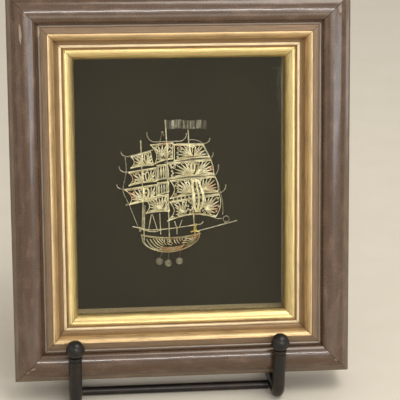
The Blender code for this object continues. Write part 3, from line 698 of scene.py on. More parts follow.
def wires_to_mesh(name, strands, sides):
    """One mesh from round wires. A strand is its points, its radius, and True if it is a loop."""
    data = bpy.data.curves.new(name, "CURVE")
    data.dimensions = "3D"
    data.bevel_depth = 1.0
    data.bevel_resolution = sides // 2 - 2
    data.use_fill_caps = True
    for points, radius, closed in strands:
        spline = data.splines.new("POLY")
        spline.points.add(len(points) - 1)
        for knot, point in zip(spline.points, points):
            knot.co = (*point, 1)
            knot.radius = radius
        spline.use_cyclic_u = closed
    piece = bpy.data.objects.new(name, data)
    bpy.context.scene.collection.objects.link(piece)
    pick(piece)
    bpy.ops.object.convert(target="MESH")
    bpy.ops.object.mode_set(mode="EDIT")
    bpy.ops.mesh.select_all(action="SELECT")
    bpy.ops.mesh.remove_doubles(threshold=1e-6)
    bpy.ops.object.mode_set(mode="OBJECT")
    bpy.ops.object.shade_smooth_by_angle(angle=math.radians(50))
    return bpy.context.object


def rod_route(x, post_y, rear_y):
    """Corners of one side rod, from under its ball round to the top of the rest."""
    behind = FRAME_DEPTH + GAP + ROD / 2
    post_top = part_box("easel_ball_left")[0].z - GAP
    low = ROD_RADIUS + TABLE_GAP
    corners = [
        Vector((x, post_y, post_top)), Vector((x, post_y, low)), Vector((x, rear_y, low)),
        lean_back @ Vector((x, behind, REST_LOW)), lean_back @ Vector((x, behind, REST_HIGH)),
    ]
    return bent_path(corners, (FRONT_BEND, REAR_BEND, REST_BEND))


# %% Finish of the iron
def iron_finish():
    """Satin black paint on iron, browned a little where it is thin."""
    finish = Finish("black_iron", {"Coat Roughness": 0.3})
    place = finish.object_place()
    peel = finish.noise(place, 900.0, 3.0)
    thin = finish.noise(place, 75.0, 4.0, 0.6)
    dust = finish.noise(place, 2600.0, 2.0, 0.7)
    base = finish.blend(finish.step(thin, 0.45, 0.72), shade(26, 23, 21), shade(52, 38, 32))
    final = finish.blend(finish.step(dust, 0.68, 0.80) * 0.35, base, shade(120, 110, 98))
    finish.bump(peel, 0.30, 0.00012)
    return finish.wear(base_color=final, roughness=thin * 0.2 + 0.24, metallic=thin * 0.3 + 0.1)


black_iron = iron_finish()

# %% [markdown]
# The posts' upper ends are eased a little where they meet the collar. The ball starts as a
# sphere; its lower part is cut away with bisect where the neck begins, and the rim that is left
# is extruded down to make the short neck and the collar below it.

# %% Rods and bars
BALL = 0.0102
BASE_REACH = 0.0980
POST_TO_REAR = BASE_REACH - ROD - 0.0001
EASED_LENGTH = 0.0006
EASED_RADIUS = ROD_RADIUS * 0.93
BAR_RADIUS = CROSSBAR / 2 * 0.965
ball_low, ball_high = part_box("easel_ball_left")
post_y = (ball_low.y + ball_high.y) / 2


def post_x(side):
    low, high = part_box("easel_ball_" + side)
    return (low.x + high.x) / 2


for side in ("left", "right"):
    route = rod_route(post_x(side), post_y, post_y + POST_TO_REAR)
    eased_top = route[0] - Vector((0, 0, EASED_LENGTH))
    strands = [([eased_top] + route[1:], ROD_RADIUS, False),
               ([route[0], eased_top], EASED_RADIUS, False)]
    rod = wires_to_mesh("rod", strands, 24)
    settle(rod, "easel_rod_%s_bent" % side, black_iron, ("easel_rod_" + side,),
           leaning=False)
    print(rod.name, triangles(rod), "triangles")
for name in ("easel_bar_front", "easel_bar_top"):
    low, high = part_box(name)
    middle = (low + high) / 2
    ends = [Vector((low.x, middle.y, middle.z)), Vector((high.x, middle.y, middle.z))]
    bar = wires_to_mesh("bar", [(ends, BAR_RADIUS, False)], 20)
    settle(bar, name + "_round", black_iron, (name,), leaning=False)

# %% Ball ends
BALL_EASE = 0.00001
COLLAR_STEPS = ((0.96, 0.6), (1.20, 0.4), (1.03, 1), (1.0, 2), (0.94, 1))


def turn_ball(side):
    """A ball on a neck and collar, standing on its post."""
    low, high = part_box("easel_ball_" + side)
    centre = Vector((post_x(side), post_y, high.z - BALL / 2))
    clear_selection()
    bpy.ops.mesh.primitive_uv_sphere_add(segments=40, ring_count=24,
                                         radius=BALL / 2 - BALL_EASE, location=centre)
    bpy.ops.object.mode_set(mode="EDIT")
    bpy.ops.mesh.select_all(action="SELECT")
    neck_z = -math.sqrt((BALL / 2) ** 2 - (NECK / 2) ** 2)
    neck_at = centre + Vector((0, 0, neck_z))
    bpy.ops.mesh.bisect(plane_co=neck_at, plane_no=(0, 0, 1), clear_inner=True)
    drop = high.z - BALL / 2 + neck_z - low.z
    rim = drop / 5
    for grow, share in COLLAR_STEPS:
        bpy.ops.mesh.extrude_region_move(TRANSFORM_OT_translate={"value": (0, 0, -rim * share)})
        bpy.ops.transform.resize(value=(grow, grow, 1))
    bpy.ops.mesh.edge_face_add()
    bpy.ops.mesh.select_all(action="SELECT")
    bpy.ops.mesh.normals_make_consistent(inside=False)
    bpy.ops.object.mode_set(mode="OBJECT")
    bpy.ops.object.shade_smooth_by_angle(angle=math.radians(40))
    return settle(bpy.context.object, "easel_ball_%s_turned" % side, black_iron,
                  ("easel_ball_" + side,), leaning=False)


for side in ("left", "right"):
    ball = turn_ball(side)
    print(ball.name, triangles(ball), "triangles")

# %% [markdown]
# ## The ship
#
# Filigree is fine silver wire, twisted in pairs, flattened and bent into curls, which are packed
# into a frame of thicker wire and soldered. Its places are drawn in millimetres from the middle
# of the hull's rim, as in the CAD model. Lift is how far a wire's middle is in front of the
# velvet.

# %% Ship space
MM = 0.001
VELVET_FRONT = 0.0264
RIM_HEIGHT = FRAME_HEIGHT / 2 - 0.0292
SHIP_LEFT = 0.0050
SHEET = 0.35
MAST_LIFT = 0.7
STAY_LIFT = 1.4
YARD_LIFT = 2.1


def ship_point(x, z, lift):
    """A drawn point, all in millimetres, as a point of the upright frame."""
    return Vector((x * MM - SHIP_LEFT, VELVET_FRONT - lift * MM, RIM_HEIGHT + z * MM))


def smooth_line(points, steps=6):
    """A smooth line through drawn points, of two or three numbers each."""
    ends = [points[0]] + list(points) + [points[-1]]
    line = []
    for knots in zip(ends, ends[1:], ends[2:], ends[3:]):
        for step in range(steps):
            t = step / steps
            weights = ((2 * t * t - t - t ** 3) / 2, (3 * t ** 3 - 5 * t * t + 2) / 2,
                       (4 * t * t + t - 3 * t ** 3) / 2, (t ** 3 - t * t) / 2)
            line.append(tuple(sum(weight * part for weight, part in zip(weights, parts))
                              for parts in zip(*knots)))
    return line + [tuple(points[-1])]


def resampled(points, spacing, closed=False):
    """Points at even distances along a line."""
    points = [Vector(point) for point in points]
    if closed:
        points.append(points[0])
    lengths = [(b - a).length for a, b in zip(points, points[1:])]
    count = max(2, round(sum(lengths) / spacing))
    even = []
    index = 0
    passed = 0.0
    for step in range(count + (0 if closed else 1)):
        target = sum(lengths) * step / count
        while index < len(lengths) - 1 and passed + lengths[index] < target:
            passed += lengths[index]
            index += 1
        share = (target - passed) / lengths[index] if lengths[index] else 0.0
        even.append(points[index].lerp(points[index + 1], min(1.0, share)))
    return even


# %% [markdown]
# The thick borders are pairs of wires twisted together and rolled a little flat. Two strands are
# led round the border's line, half a turn apart, and the turn is flattened towards the velvet.

# %% Twisted pair
TWIST_PITCH = 1.0
TWIST_STEPS = 7
FRONT = Vector((0, -1, 0))


def twisted_pair(points, radius, closed=False):
    """Two strands that turn round a line; sizes in millimetres."""
    line = resampled(points, TWIST_PITCH * MM / TWIST_STEPS, closed)
    strands = []
    for half in (0.0, math.pi):
        strand = []
        for index, point in enumerate(line):
            before = line[index - 1] if index or closed else point
            after = line[(index + 1) % len(line)] if index + 1 < len(line) or closed else point
            aside = (after - before).normalized().cross(FRONT).normalized()
            angle = half + 2 * math.pi * index / TWIST_STEPS
            offset = aside * math.cos(angle) + FRONT * math.sin(angle) * 0.7
            strand.append(point + offset * radius * MM * 0.95)
        strands.append((strand, radius * MM, closed))
    return strands


def plain_wire(points, radius, closed=False):
    return [([Vector(point) for point in points], radius * MM, closed)]


# %% [markdown]
# Silver turns with age: the wire is bright cream where it has been polished, greyer in the
# corners, and coppery pink in places. The tints sit at named places of the drawn ship. Each is a
# soft ball, measured from its centre in Object coordinates, so it stays put in every view.

# %% Silver finishes
COPPER_PLACES = (
    (-21.5, 32.5, 4.0), (-21.5, 23.0, 4.6), (-3.0, 51.5, 3.0), (4.5, 49.0, 3.0),
    (23.5, 37.0, 3.4), (23.0, 27.5, 4.6), (25.5, 15.0, 5.0), (14.0, 11.5, 2.6),
    (5.5, -6.0, 6.0), (14.5, -0.5, 4.5), (-0.5, 53.0, 3.0), (12.0, 44.5, 3.0),
    (-2.0, -7.0, 5.0), (0.5, -2.5, 4.0),
)
GREY_PLACES = (
    (-3.0, 33.0, 4.5), (-4.0, 27.0, 4.0), (-14.5, -4.0, 5.5), (6.0, 46.5, 4.0), (-5.0, 45.0, 3.5),
)
TINT_LIFT = 2.5


def tint_mask(finish, place, places):
    """1 inside any of the named soft balls, 0 outside."""
    mask = None
    for x, z, reach in places:
        middle = lean_back @ ship_point(x, z, TINT_LIFT)
        far = finish.node("VectorMath", {"operation": "DISTANCE"}, {0: place, 1: middle}, "Value")
        spot = 1 - finish.step(far, reach * MM * 0.3, reach * MM)
        mask = spot if mask is None else finish.sum("MAXIMUM", mask, spot)
    return mask


def silver_wire_finish(name, light, dark, copper):
    """Filigree wire, with the tints of its age."""
    finish = Finish(name, {"Metallic": 1.0})
    place = finish.object_place()
    patches = finish.noise(place, 300.0, 3.0, 0.6)
    fine = finish.noise(place, 3500.0, 2.0, 0.6)
    bright = finish.blend(finish.step(patches, 0.38, 0.66), light, dark)
    coppery = finish.blend(tint_mask(finish, place, COPPER_PLACES) * 0.70, bright, copper)
    shaded = tint_mask(finish, place, GREY_PLACES) * 0.55
    greyed = finish.blend(shaded, coppery, shade(182, 184, 156))
    final = finish.blend(finish.step(fine, 0.60, 0.78) * 0.5, greyed, shade(110, 98, 66))
    finish.bump(fine, 0.5, 0.00006)
    return finish.wear(base_color=final, roughness=fine * 0.25 + 0.24)


def dull_silver_finish(name, light, dark, hammer):
    """Unpolished silver wire or sheet, with small hammer marks."""
    finish = Finish(name, {"Metallic": 1.0})
    place = finish.object_place()
    marks = finish.cells(place, hammer)
    tarnish = finish.noise(place, 420.0, 4.0, 0.6)
    final = finish.blend(finish.step(tarnish, 0.35, 0.68), light, dark)
    finish.bump(marks, 0.55, 0.00018)
    return finish.wear(base_color=final, roughness=tarnish * 0.3 + 0.22)


silver_wire = silver_wire_finish(
    "silver_wire", shade(252, 246, 210), shade(212, 202, 158), shade(216, 172, 134))
hull_wire = silver_wire_finish(
    "hull_wire", shade(214, 204, 162), shade(166, 156, 116), shade(192, 146, 98))
stay_wire = dull_silver_finish("stay_wire", shade(196, 190, 168), shade(140, 132, 110), 2600.0)
mast_wire = dull_silver_finish("mast_wire", shade(222, 214, 176), shade(168, 158, 124), 2200.0)
gold_wire = dull_silver_finish("gold_wire", shade(232, 216, 124), shade(184, 158, 76), 2600.0)
hammered_sheet = dull_silver_finish(
    "hammered_sheet", shade(122, 117, 98), shade(74, 70, 57), 700.0)


def rolled_sheet_finish():
    """Thin sheet with painted light and shade in streaks across it, standing for its folds."""
    finish = Finish("rolled_sheet", {"Metallic": 1.0})
    place = finish.object_place()
    # The fold streaks are painted highlight and shade, not a colour of the sheet itself.
    fold_shade = finish.noise(finish.scaled(place, (1, 1, 0.10)), 380.0, 1.0, 0.5)
    marks = finish.noise(place, 1500.0, 3.0, 0.6)
    fold_shaded = finish.blend(finish.step(fold_shade, 0.34, 0.66), shade(56, 54, 44), shade(134, 131, 114))
    final = finish.blend(finish.step(marks, 0.42, 0.70) * 0.45, fold_shaded, shade(90, 87, 75))
    finish.bump(marks, 0.5, 0.00010)
    return finish.wear(base_color=final, roughness=marks * 0.3 + 0.16)


rolled_sheet = rolled_sheet_finish()
print("hull wire finish nodes:", len(hull_wire.node_tree.nodes))

# %% [markdown]
# ### Masts, brace and bowsprit
#
# Each mast is a stout wire, with small grains of silver melted onto it where the upper yards
# cross. A grain is a sphere pulled a little out of round.

# %% Masts
MASTS = {
    "mizzen_mast": ((-15.6, 53.3), (-14.3, -3.0)),
    "main_mast": ((-2.0, 64.4), (-1.3, 53.7), (-0.2, -4.5)),
    "fore_mast": ((10.8, 58.6), (11.0, 53.1), (14.2, -2.4)),
    "bowsprit": ((15.1, 1.5), (37.9, 7.0)),
}
MAST_RADIUS = 0.34
MAST_GRAINS = {
    "mizzen_mast": ((-15.55, 52.3, 0.50), (-15.5, 49.6, 0.42)),
    "main_mast": ((-1.4, 54.2, 0.55),),
    "fore_mast": ((10.9, 53.6, 0.46),),
}


def grain(at, size):
    """A melted bead of silver."""
    clear_selection()
    bpy.ops.mesh.primitive_uv_sphere_add(segments=16, ring_count=10, radius=size * MM, location=at)
    bpy.ops.object.mode_set(mode="EDIT")
    bpy.ops.transform.resize(value=(1.0, 0.9, 1.25))
    bpy.ops.object.mode_set(mode="OBJECT")
    bpy.ops.object.shade_smooth()
    return bpy.context.object


def joined(pieces):
    """Join pieces into the first one."""
    clear_selection()
    for piece in pieces:
        piece.select_set(True)
    bpy.context.view_layer.objects.active = pieces[0]
    bpy.ops.object.join()
    return pieces[0]


def binding(x, z, lift, turns, radius, pitch, wire):
    """A tight winding round an upright wire, from z up."""
    steps = 10
    points = []
    for step in range(int(turns * steps) + 1):
        angle = 2 * math.pi * step / steps
        points.append(ship_point(x + radius * math.cos(angle), z + pitch * step / steps,
                                 lift + radius * math.sin(angle)))
    return plain_wire(points, wire)


for name, points in MASTS.items():
    line = [ship_point(x, z, MAST_LIFT) for x, z in points]
    mast = wires_to_mesh("mast", plain_wire(resampled(line, 1.5 * MM), MAST_RADIUS), 12)
    beads = [grain(ship_point(x, z, MAST_LIFT), size) for x, z, size in MAST_GRAINS.get(name, ())]
    mast = joined([mast] + beads)
    settle(mast, name + "_wire", mast_wire if "mast" in name else stay_wire, (name,))
print("mast wires:", len(MASTS))

# %% [markdown]
# ### Stays, boom and uprights
#
# The thin rigging is single wire, softly bent by hand. The boom is two strands side by side
# towards the stern, and its uprights stand on it and on the hull's rim. Where a stay is tied,
# it has a small knot: a few tight turns.

# %% Rigging
STAYS = {
    "stay_left": (
        (-24.4, 44.4), (-23.9, 36.4), (-25.8, 26.3), (-24.1, 20.9), (-22.3, 17.0), (-17.8, 5.2),
    ),
    "stay_right": (
        (10.9, 53.0), (14.2, 53.1), (18.7, 51.2), (20.6, 47.6), (23.1, 42.5), (25.0, 34.1),
        (27.3, 28.5), (28.5, 23.5), (29.8, 17.3), (29.8, 10.6),
    ),
    "sheet_line": ((15.9, 11.2), (21.5, 10.4), (26.5, 8.6), (29.3, 8.6)),
    "mast_brace": ((-5.2, 51.8), (-3.6, 58.0), (-2.6, 55.4)),
}
STAY_KNOTS = {"stay_left": (-23.9, 17.6), "mast_brace": (-3.6, 57.6)}
STAY_RADIUS = 0.20
BRACE_RADIUS = 0.36
BOOM = (
    (-20.8, 5.4), (-16.9, 4.5), (-11.9, 3.3), (-5.2, 3.3), (3.7, 4.1), (14.8, 5.5), (17.3, 5.8),
    (18.7, 7.2),
)
BOOM_RADIUS = 0.27
SECOND_STRAND = ((-16.9, 4.2), (-11.9, 2.5), (-8.0, 2.2), (-5.6, 2.9))
SECOND_RADIUS = 0.24
BOOM_KNOTS = ((-16.9, 4.4), (-16.6, 3.1), (-5.2, 3.2), (3.9, 4.1))
UPRIGHTS = (
    ((-15.0, 17.2), (-15.6, 3.6)), ((-13.8, 17.2), (-14.4, 1.9)), ((-10.3, 12.0), (-12.0, 3.0)),
    ((-9.7, 12.0), (-7.0, 2.9)), ((-5.6, 12.4), (-5.2, 0.5)), ((3.9, 4.4), (3.9, 0.4)),
    ((2.6, 7.8), (3.8, 3.9)), ((6.8, 8.4), (5.2, 4.0)),
)
UPRIGHT_RADIUS = 0.22
KNOT_SIZE = 0.55
KNOT_DEPTH = 0.45
KNOT_WIRE = 0.17


def drawn(points, lift, steps=6):
    return [ship_point(x, z, lift) for x, z in smooth_line(points, steps)]


def knot(x, z, lift):
    """Three small turns, each tipped another way."""
    points = []
    for step in range(37):
        angle = 2 * math.pi * step / 12
        tip = step / 36 * 1.2
        aside = KNOT_SIZE * math.cos(angle)
        up = KNOT_SIZE * math.sin(angle) * math.cos(tip)
        out = KNOT_DEPTH * math.sin(angle) * math.sin(tip)
        points.append(ship_point(x + aside, z + up, lift + out))
    return plain_wire(points, KNOT_WIRE)


for name, points in STAYS.items():
    steps, radius = (1, BRACE_RADIUS) if name == "mast_brace" else (6, STAY_RADIUS)
    strands = plain_wire(drawn(points, STAY_LIFT, steps), radius)
    if name in STAY_KNOTS:
        strands += knot(*STAY_KNOTS[name], STAY_LIFT)
    stay = wires_to_mesh("stay", strands, 8)
    settle(stay, name + "_wire", stay_wire, (name,))

boom = plain_wire(drawn(BOOM, YARD_LIFT), BOOM_RADIUS)
boom += plain_wire(drawn(SECOND_STRAND, YARD_LIFT), SECOND_RADIUS)
for x, z in BOOM_KNOTS:
    boom += knot(x, z, YARD_LIFT)
for ends in UPRIGHTS:
    boom += plain_wire(resampled(drawn(ends, YARD_LIFT, 1), 2 * MM), UPRIGHT_RADIUS)
rigging = wires_to_mesh("deck_rail", boom, 8)
settle(rigging, "deck_rail_wire", mast_wire, ("deck_rail",))
print("deck rail:", triangles(rigging), "triangles")

# %% [markdown]
# ### Yards
#
# A yard is one wire whose free ends are turned up in hooks. The hook is a quarter of an ellipse,
# and the tip is melted to a point the size of a pinhead.

# %% Yards
YARDS = {
    "mizzen_yard_top": ((-22.6, 44.6), (-9.0, 48.0), (4.0, 2.4), None),
    "mizzen_yard_middle": ((-24.0, 35.9), (-4.0, 38.6), (3.8, 3.0), None),
    "mizzen_yard_lower": ((-25.4, 26.4), (-4.0, 29.1), (3.8, 2.4), None),
    "royal_yard": ((-8.0, 52.4), (5.9, 52.6), (4.2, 5.0), (3.8, 4.0)),
    "fore_yard_top": ((4.0, 51.2), (19.4, 51.0), None, (3.3, 2.6)),
    "fore_yard_upper": ((-2.5, 40.8), (22.6, 42.7), None, (1.9, 2.9)),
    "fore_yard_middle": ((-0.6, 31.3), (24.9, 33.3), None, (2.6, 5.4)),
    "fore_yard_lower": ((-0.6, 19.0), (28.0, 23.3), None, (3.5, 4.1)),
}
YARD_RADIUS = 0.26
YARD_GRAIN = 0.36


def hooked_end(end, size, direction):
    """Points of a hook that turns up from the end of a yard."""
    out, up = size
    angles = [math.pi / 2 * step / 10 for step in range(1, 11)]
    return [(end[0] + direction * out * math.sin(angle), end[1] + up * (1 - math.cos(angle)))
            for angle in angles]


for name, (left, right, left_hook, right_hook) in YARDS.items():
    line = [left, right]
    tips = []
    if left_hook:
        line = hooked_end(left, left_hook, -1)[::-1] + line
        tips.append(line[0])
    if right_hook:
        line = line + hooked_end(right, right_hook, 1)
        tips.append(line[-1])
    route = [ship_point(x, z, YARD_LIFT) for x, z in line]
    yard = wires_to_mesh("yard", plain_wire(route, YARD_RADIUS), 8)
    beads = [grain(ship_point(x, z, YARD_LIFT), YARD_GRAIN) for x, z in tips]
    settle(joined([yard] + beads), name + "_wire", stay_wire, (name,))
print("yards:", len(YARDS))

# %% [markdown]
# ### Sails
#
# Every sail is a frame of twisted wire filled with the same few motifs: fans of long petals that
# spring from one grain, loops that stand upright like buds, and small curls in between. The
# surface is the CAD model's: the corners from the head's left one round by the right, how hollow
# the sides are, how the foot arches, how far the middle bellies out, and the lift.

# %% Shapes of the sails
SAILS = {
    "mizzen_sail_top": (
        (-21.1, 44.5), (-10.4, 47.4), (-8.7, 39.8), (-21.4, 38.3), (1.8, 0.2), 0.4, 1.5, 2.7,
    ),
    "mizzen_sail_middle": (
        (-22.5, 35.8), (-7.4, 38.2), (-7.4, 30.6), (-22.5, 28.5), (2.1, 0.2), 0.5, 1.6, 2.7,
    ),
    "mizzen_sail_lower": (
        (-24.7, 26.2), (-7.2, 28.8), (-7.2, 20.4), (-22.5, 17.9), (2.4, 0.2), 0.3, 0.6, 2.7,
    ),
    "main_sail_top": (
        (-10.2, 50.9), (2.1, 52.0), (1.9, 42.9), (-8.0, 40.5), (2.0, 0.1), 0.6, 1.5, 2.7,
    ),
    "main_sail_upper": (
        (-6.9, 39.4), (-1.8, 39.9), (-1.6, 31.9), (-6.9, 31.2), (0.2, 0.1), 0.3, 1.0, 2.7,
    ),
    "main_sail_middle": (
        (-6.7, 29.6), (-0.4, 30.2), (-0.4, 24.6), (-6.7, 22.6), (0.2, 0.2), 0.2, 0.6, 2.7,
    ),
    "main_sail_lower": (
        (-13.9, 21.2), (-0.9, 23.3), (-0.3, 13.9), (-13.3, 13.1), (2.2, 0.3), 0.4, 1.6, 4.0,
    ),
    "fore_sail_top": (
        (2.6, 50.9), (18.7, 50.7), (22.3, 43.5), (2.6, 41.6), (0.3, 0.2), 0.6, 1.6, 2.7,
    ),
    "fore_sail_upper": (
        (-1.2, 40.4), (23.0, 42.2), (24.7, 33.6), (-0.6, 31.9), (0.3, -0.5), 0.6, 1.8, 2.7,
    ),
    "fore_sail_middle": (
        (0.3, 30.8), (25.2, 32.7), (27.0, 24.0), (0.3, 20.8), (2.4, -0.8), 0.5, 1.8, 2.7,
    ),
    "fore_sail_lower": (
        (0.0, 18.7), (27.6, 22.7), (25.6, 9.7), (-1.3, 8.2), (3.0, -1.8), 2.6, 2.2, 2.7,
    ),
}


class SailCloth:
    """The surface of one sail."""

    def __init__(self, name):
        head_left, head_right, foot_right, foot_left, hollows, arch, billow, lift = SAILS[name]
        self.corners = head_left, head_right, foot_right, foot_left
        self.hollows, self.arch, self.billow, self.lift = hollows, arch, billow, lift
        self.width = (math.dist(head_left, head_right) + math.dist(foot_left, foot_right)) / 2
        self.drop = (math.dist(head_left, foot_left) + math.dist(head_right, foot_right)) / 2

    def edges(self, along, fall):
        """Left and right side at one height, head and foot at one place along."""
        head_left, head_right, foot_right, foot_left = self.corners
        swell = math.sin(math.pi * fall)
        left = head_left[0] + (foot_left[0] - head_left[0]) * fall + self.hollows[0] * swell
        right = head_right[0] + (foot_right[0] - head_right[0]) * fall - self.hollows[1] * swell
        head = head_left[1] + (head_right[1] - head_left[1]) * along
        foot = foot_left[1] + (foot_right[1] - foot_left[1]) * along
        return left, right, head, foot + self.arch * math.sin(math.pi * along)

    def drawn(self, along, fall):
        """The drawn place of a share along the head and a share down the side."""
        left, right, head, foot = self.edges(along, fall)
        return left + (right - left) * along, head + (foot - head) * fall

    def shares(self, x, z):
        """The reverse: found by repeating, since each share depends a little on the other."""
        along = fall = 0.5
        for _ in range(6):
            left, right, head, foot = self.edges(along, fall)
            along = min(1.0, max(0.0, (x - left) / (right - left)))
            fall = min(1.0, max(0.0, (head - z) / (head - foot)))
        return along, fall

    def point(self, along, fall, proud=0.0):
        belly = self.billow * math.sin(math.pi * along) ** 0.7 * math.sin(math.pi * fall) ** 0.7
        return ship_point(*self.drawn(along, fall), self.lift + SHEET + belly + proud)

    def on(self, x, z, proud=0.0):
        """The point of the cloth at a drawn place."""
        return self.point(*self.shares(x, z), proud)


cloths = {name: SailCloth(name) for name in SAILS}
print("widest sail:", round(max(cloth.width for cloth in cloths.values()), 1), "mm")

# %% [markdown]
# The fill is drawn in the ship's millimetres too. A fan is a foot and the tips that its petals
# reach. A bud is its middle line, its head and foot, its width and how many loops lie inside
# each other. Bars are upright petals in a row. A strap is the mast, where it passes in front.

# %% Drawing of the fill
FANS = {
    "mizzen_sail_top": (
        ((-13.9, 40.4), (
            (-20.2, 39.9), (-19.4, 41.9), (-19.2, 44.0), (-17.0, 45.0))),
        ((-12.6, 40.6), (
            (-9.3, 41.2), (-9.5, 43.4), (-9.9, 45.9), (-11.4, 46.3))),
    ),
    "mizzen_sail_middle": (
        ((-14.4, 30.6), (
            (-20.9, 29.8), (-19.8, 32.3), (-20.2, 34.7), (-17.6, 35.6), (-15.5, 36.0))),
        ((-11.2, 31.2), (
            (-8.2, 32.0), (-8.2, 34.3), (-8.3, 36.8), (-10.2, 36.8))),
    ),
    "mizzen_sail_lower": (
        ((-14.4, 19.9), (
            (-21.8, 18.8), (-21.4, 21.0), (-22.2, 24.6), (-19.8, 26.0), (-17.4, 26.4))),
        ((-10.6, 21.0), (
            (-8.0, 22.4), (-8.0, 25.0), (-8.3, 27.5), (-10.2, 27.3))),
    ),
    "main_sail_top": (
        ((-4.2, 44.9), (
            (-7.9, 44.6), (-8.0, 47.1), (-8.6, 49.8), (-6.2, 50.3), (-3.9, 50.7), (-1.6, 50.9),
            (0.9, 50.8), (1.2, 48.0))),
    ),
    "main_sail_lower": (
        ((-5.0, 15.6), (
            (-11.5, 14.4), (-11.2, 16.4), (-11.6, 18.4), (-12.3, 20.4), (-10.3, 21.0),
            (-8.3, 21.3), (-6.3, 21.6), (-4.3, 22.0), (-2.4, 22.3))),
        ((-3.0, 15.0), (
            (-1.1, 16.0), (-1.3, 18.3), (-1.6, 20.6))),
    ),
    "fore_sail_top": (
        ((12.4, 45.0), (
            (4.2, 43.0), (4.4, 45.4), (4.6, 47.6), (5.7, 49.8), (8.2, 49.9))),
        ((13.9, 44.8), (
            (14.6, 49.8), (16.8, 49.8), (18.4, 49.4), (19.9, 47.4), (20.6, 45.3))),
    ),
    "fore_sail_upper": (
        ((12.6, 34.1), (
            (3.0, 33.4), (3.1, 35.3), (3.2, 37.2), (4.1, 39.3), (6.4, 40.1), (8.8, 40.4))),
        ((14.6, 34.4), (
            (16.6, 41.0), (18.8, 41.2), (20.9, 41.2), (22.7, 40.8), (23.6, 38.7), (23.9, 36.6),
            (23.9, 34.7))),
    ),
    "fore_sail_middle": (
        ((11.6, 24.4), (
            (4.0, 22.2), (3.7, 24.4), (3.6, 26.6), (3.4, 29.4), (5.8, 30.4), (8.1, 30.7),
            (10.4, 30.9))),
        ((18.6, 25.4), (
            (18.6, 31.4), (20.9, 31.6), (23.2, 31.6), (25.0, 30.6), (25.6, 28.4), (25.9, 26.4),
            (25.9, 24.9))),
    ),
    "fore_sail_lower": (
        ((7.6, 13.2), (
            (3.0, 11.6), (3.2, 13.6), (2.9, 15.8), (2.3, 17.8), (4.6, 18.7), (6.9, 19.1),
            (9.2, 19.4))),
        ((19.4, 14.6), (
            (19.8, 20.8), (22.0, 21.1), (24.2, 21.4), (26.4, 21.2), (27.4, 18.9), (27.3, 16.6),
            (26.6, 14.4), (25.2, 12.2), (23.0, 11.4))),
    ),
}
BUDS = {
    "mizzen_sail_top": ((-13.1, 46.0, 41.4, 2.0, 1),),
    "mizzen_sail_middle": ((-12.5, 36.2, 31.0, 2.2, 1),),
    "mizzen_sail_lower": ((-13.1, 27.2, 20.8, 4.0, 2),),
    "fore_sail_top": ((11.9, 49.9, 45.6, 2.0, 1),),
    "fore_sail_upper": ((12.9, 40.9, 35.0, 2.8, 2),),
    "main_sail_lower": ((-2.2, 22.4, 18.9, 1.4, 1),),
}
BARS = {
    "main_sail_upper": (-6.0, -4.7, -3.4, -2.3),
    "main_sail_middle": (-5.8, -4.5, -3.2, -1.9, -1.0),
}
STRAPS = {
    "mizzen_sail_top": ((-15.25, 46.2), (-15.0, 39.0)),
    "mizzen_sail_middle": ((-14.95, 37.0), (-14.75, 29.5)),
    "mizzen_sail_lower": ((-14.7, 27.6), (-14.55, 18.8)),
    "main_sail_top": ((-1.3, 51.7), (-1.1, 42.4)),
    "fore_sail_top": ((11.15, 50.8), (11.6, 45.0)),
}

# %% [markdown]
# A petal is a narrow closed loop round an axis, and a zigzag of finer wire fills it, so that it
# shines as a ridged strip with dark velvet on both sides. A curl is a ring of a turn and a bit,
# open in its middle.

# %% Filigree motifs
PETAL_WIDTH = 1.05
PETAL_RADIUS = 0.155
ZIGZAG_RADIUS = 0.095
CURL_SMALL = 0.46
CURL_LARGE = 0.72
CURL_RADIUS = 0.145
RIM_RADIUS = 0.19
SIDE_RADIUS = 0.13
INNER_RADIUS = 0.14
INNER_INSET = 0.62
BUD_RADIUS = 0.17
BUD_INSET = 0.62
BAR_WIDTH = 0.9
STRAP_RADIUS = 0.27
CORNER_GRAIN = 0.38
FAN_GRAIN = 0.46


def leaf(on, axis, width):
    """A petal along an axis of drawn places, on a surface."""
    spine = resampled([(x, z, 0) for x, z in smooth_line(axis, 8)], 0.30)
    sides = ([], [])
    zigzag = []
    for index, place in enumerate(spine):
        share = index / (len(spine) - 1)
        ahead = (spine[min(index + 1, len(spine) - 1)] - spine[max(index - 1, 0)]).normalized()
        across = Vector((-ahead.y, ahead.x, 0))
        half = width / 2 * (0.22 + 0.78 * math.sin(math.pi * share ** 0.8)) - PETAL_RADIUS
        for side, sign in zip(sides, (1, -1)):
            edge = place + across * half * sign
            side.append(on(edge.x, edge.y, 0.14))
        if 0.08 < share < 0.95:
            for sign in (1, -1):
                tooth = place + across * half * 0.75 * sign + ahead * 0.075 * sign
                zigzag.append(on(tooth.x, tooth.y, 0.06))
    strands = plain_wire(sides[0] + sides[1][::-1], PETAL_RADIUS, True)
    if len(zigzag) > 2:
        strands += plain_wire(zigzag, ZIGZAG_RADIUS)
    return strands, [(place.x, place.y) for place in spine]


def bud(cloth, middle, head, foot, width):
    """An upright loop, round at its head and narrow at its foot."""
    loop = []
    for step in range(28):
        angle = 2 * math.pi * step / 28
        fall = (1 - math.cos(angle)) / 2
        x = middle + width / 2 * math.sin(angle) * (1 - 0.45 * fall)
        loop.append((x, head + (foot - head) * fall))
    return [cloth.on(x, z, 0.30) for x, z in loop], loop


def curl(x, z, size, turn, hand):
    """A ring of a turn and a bit that ends in a small hook."""
    places = []
    for step in range(15):
        share = step / 14
        angle = turn + hand * 2 * math.pi * 1.25 * share
        radius = size * (1 - 0.45 * share ** 2)
        places.append((x + radius * math.cos(angle), z + radius * math.sin(angle)))
    return places


# %% [markdown]
# The fill is worked out sail by sail: frame first, then fans and buds, then curls. Curls are
# scattered with a seeded random number, so the sails come out the same each time, and a curl is
# kept only where it clears the petals and its neighbours.

# %% Fill one sail
def nearest(places, x, z):
    return min((math.hypot(a - x, b - z) for a, b in places), default=9.0)


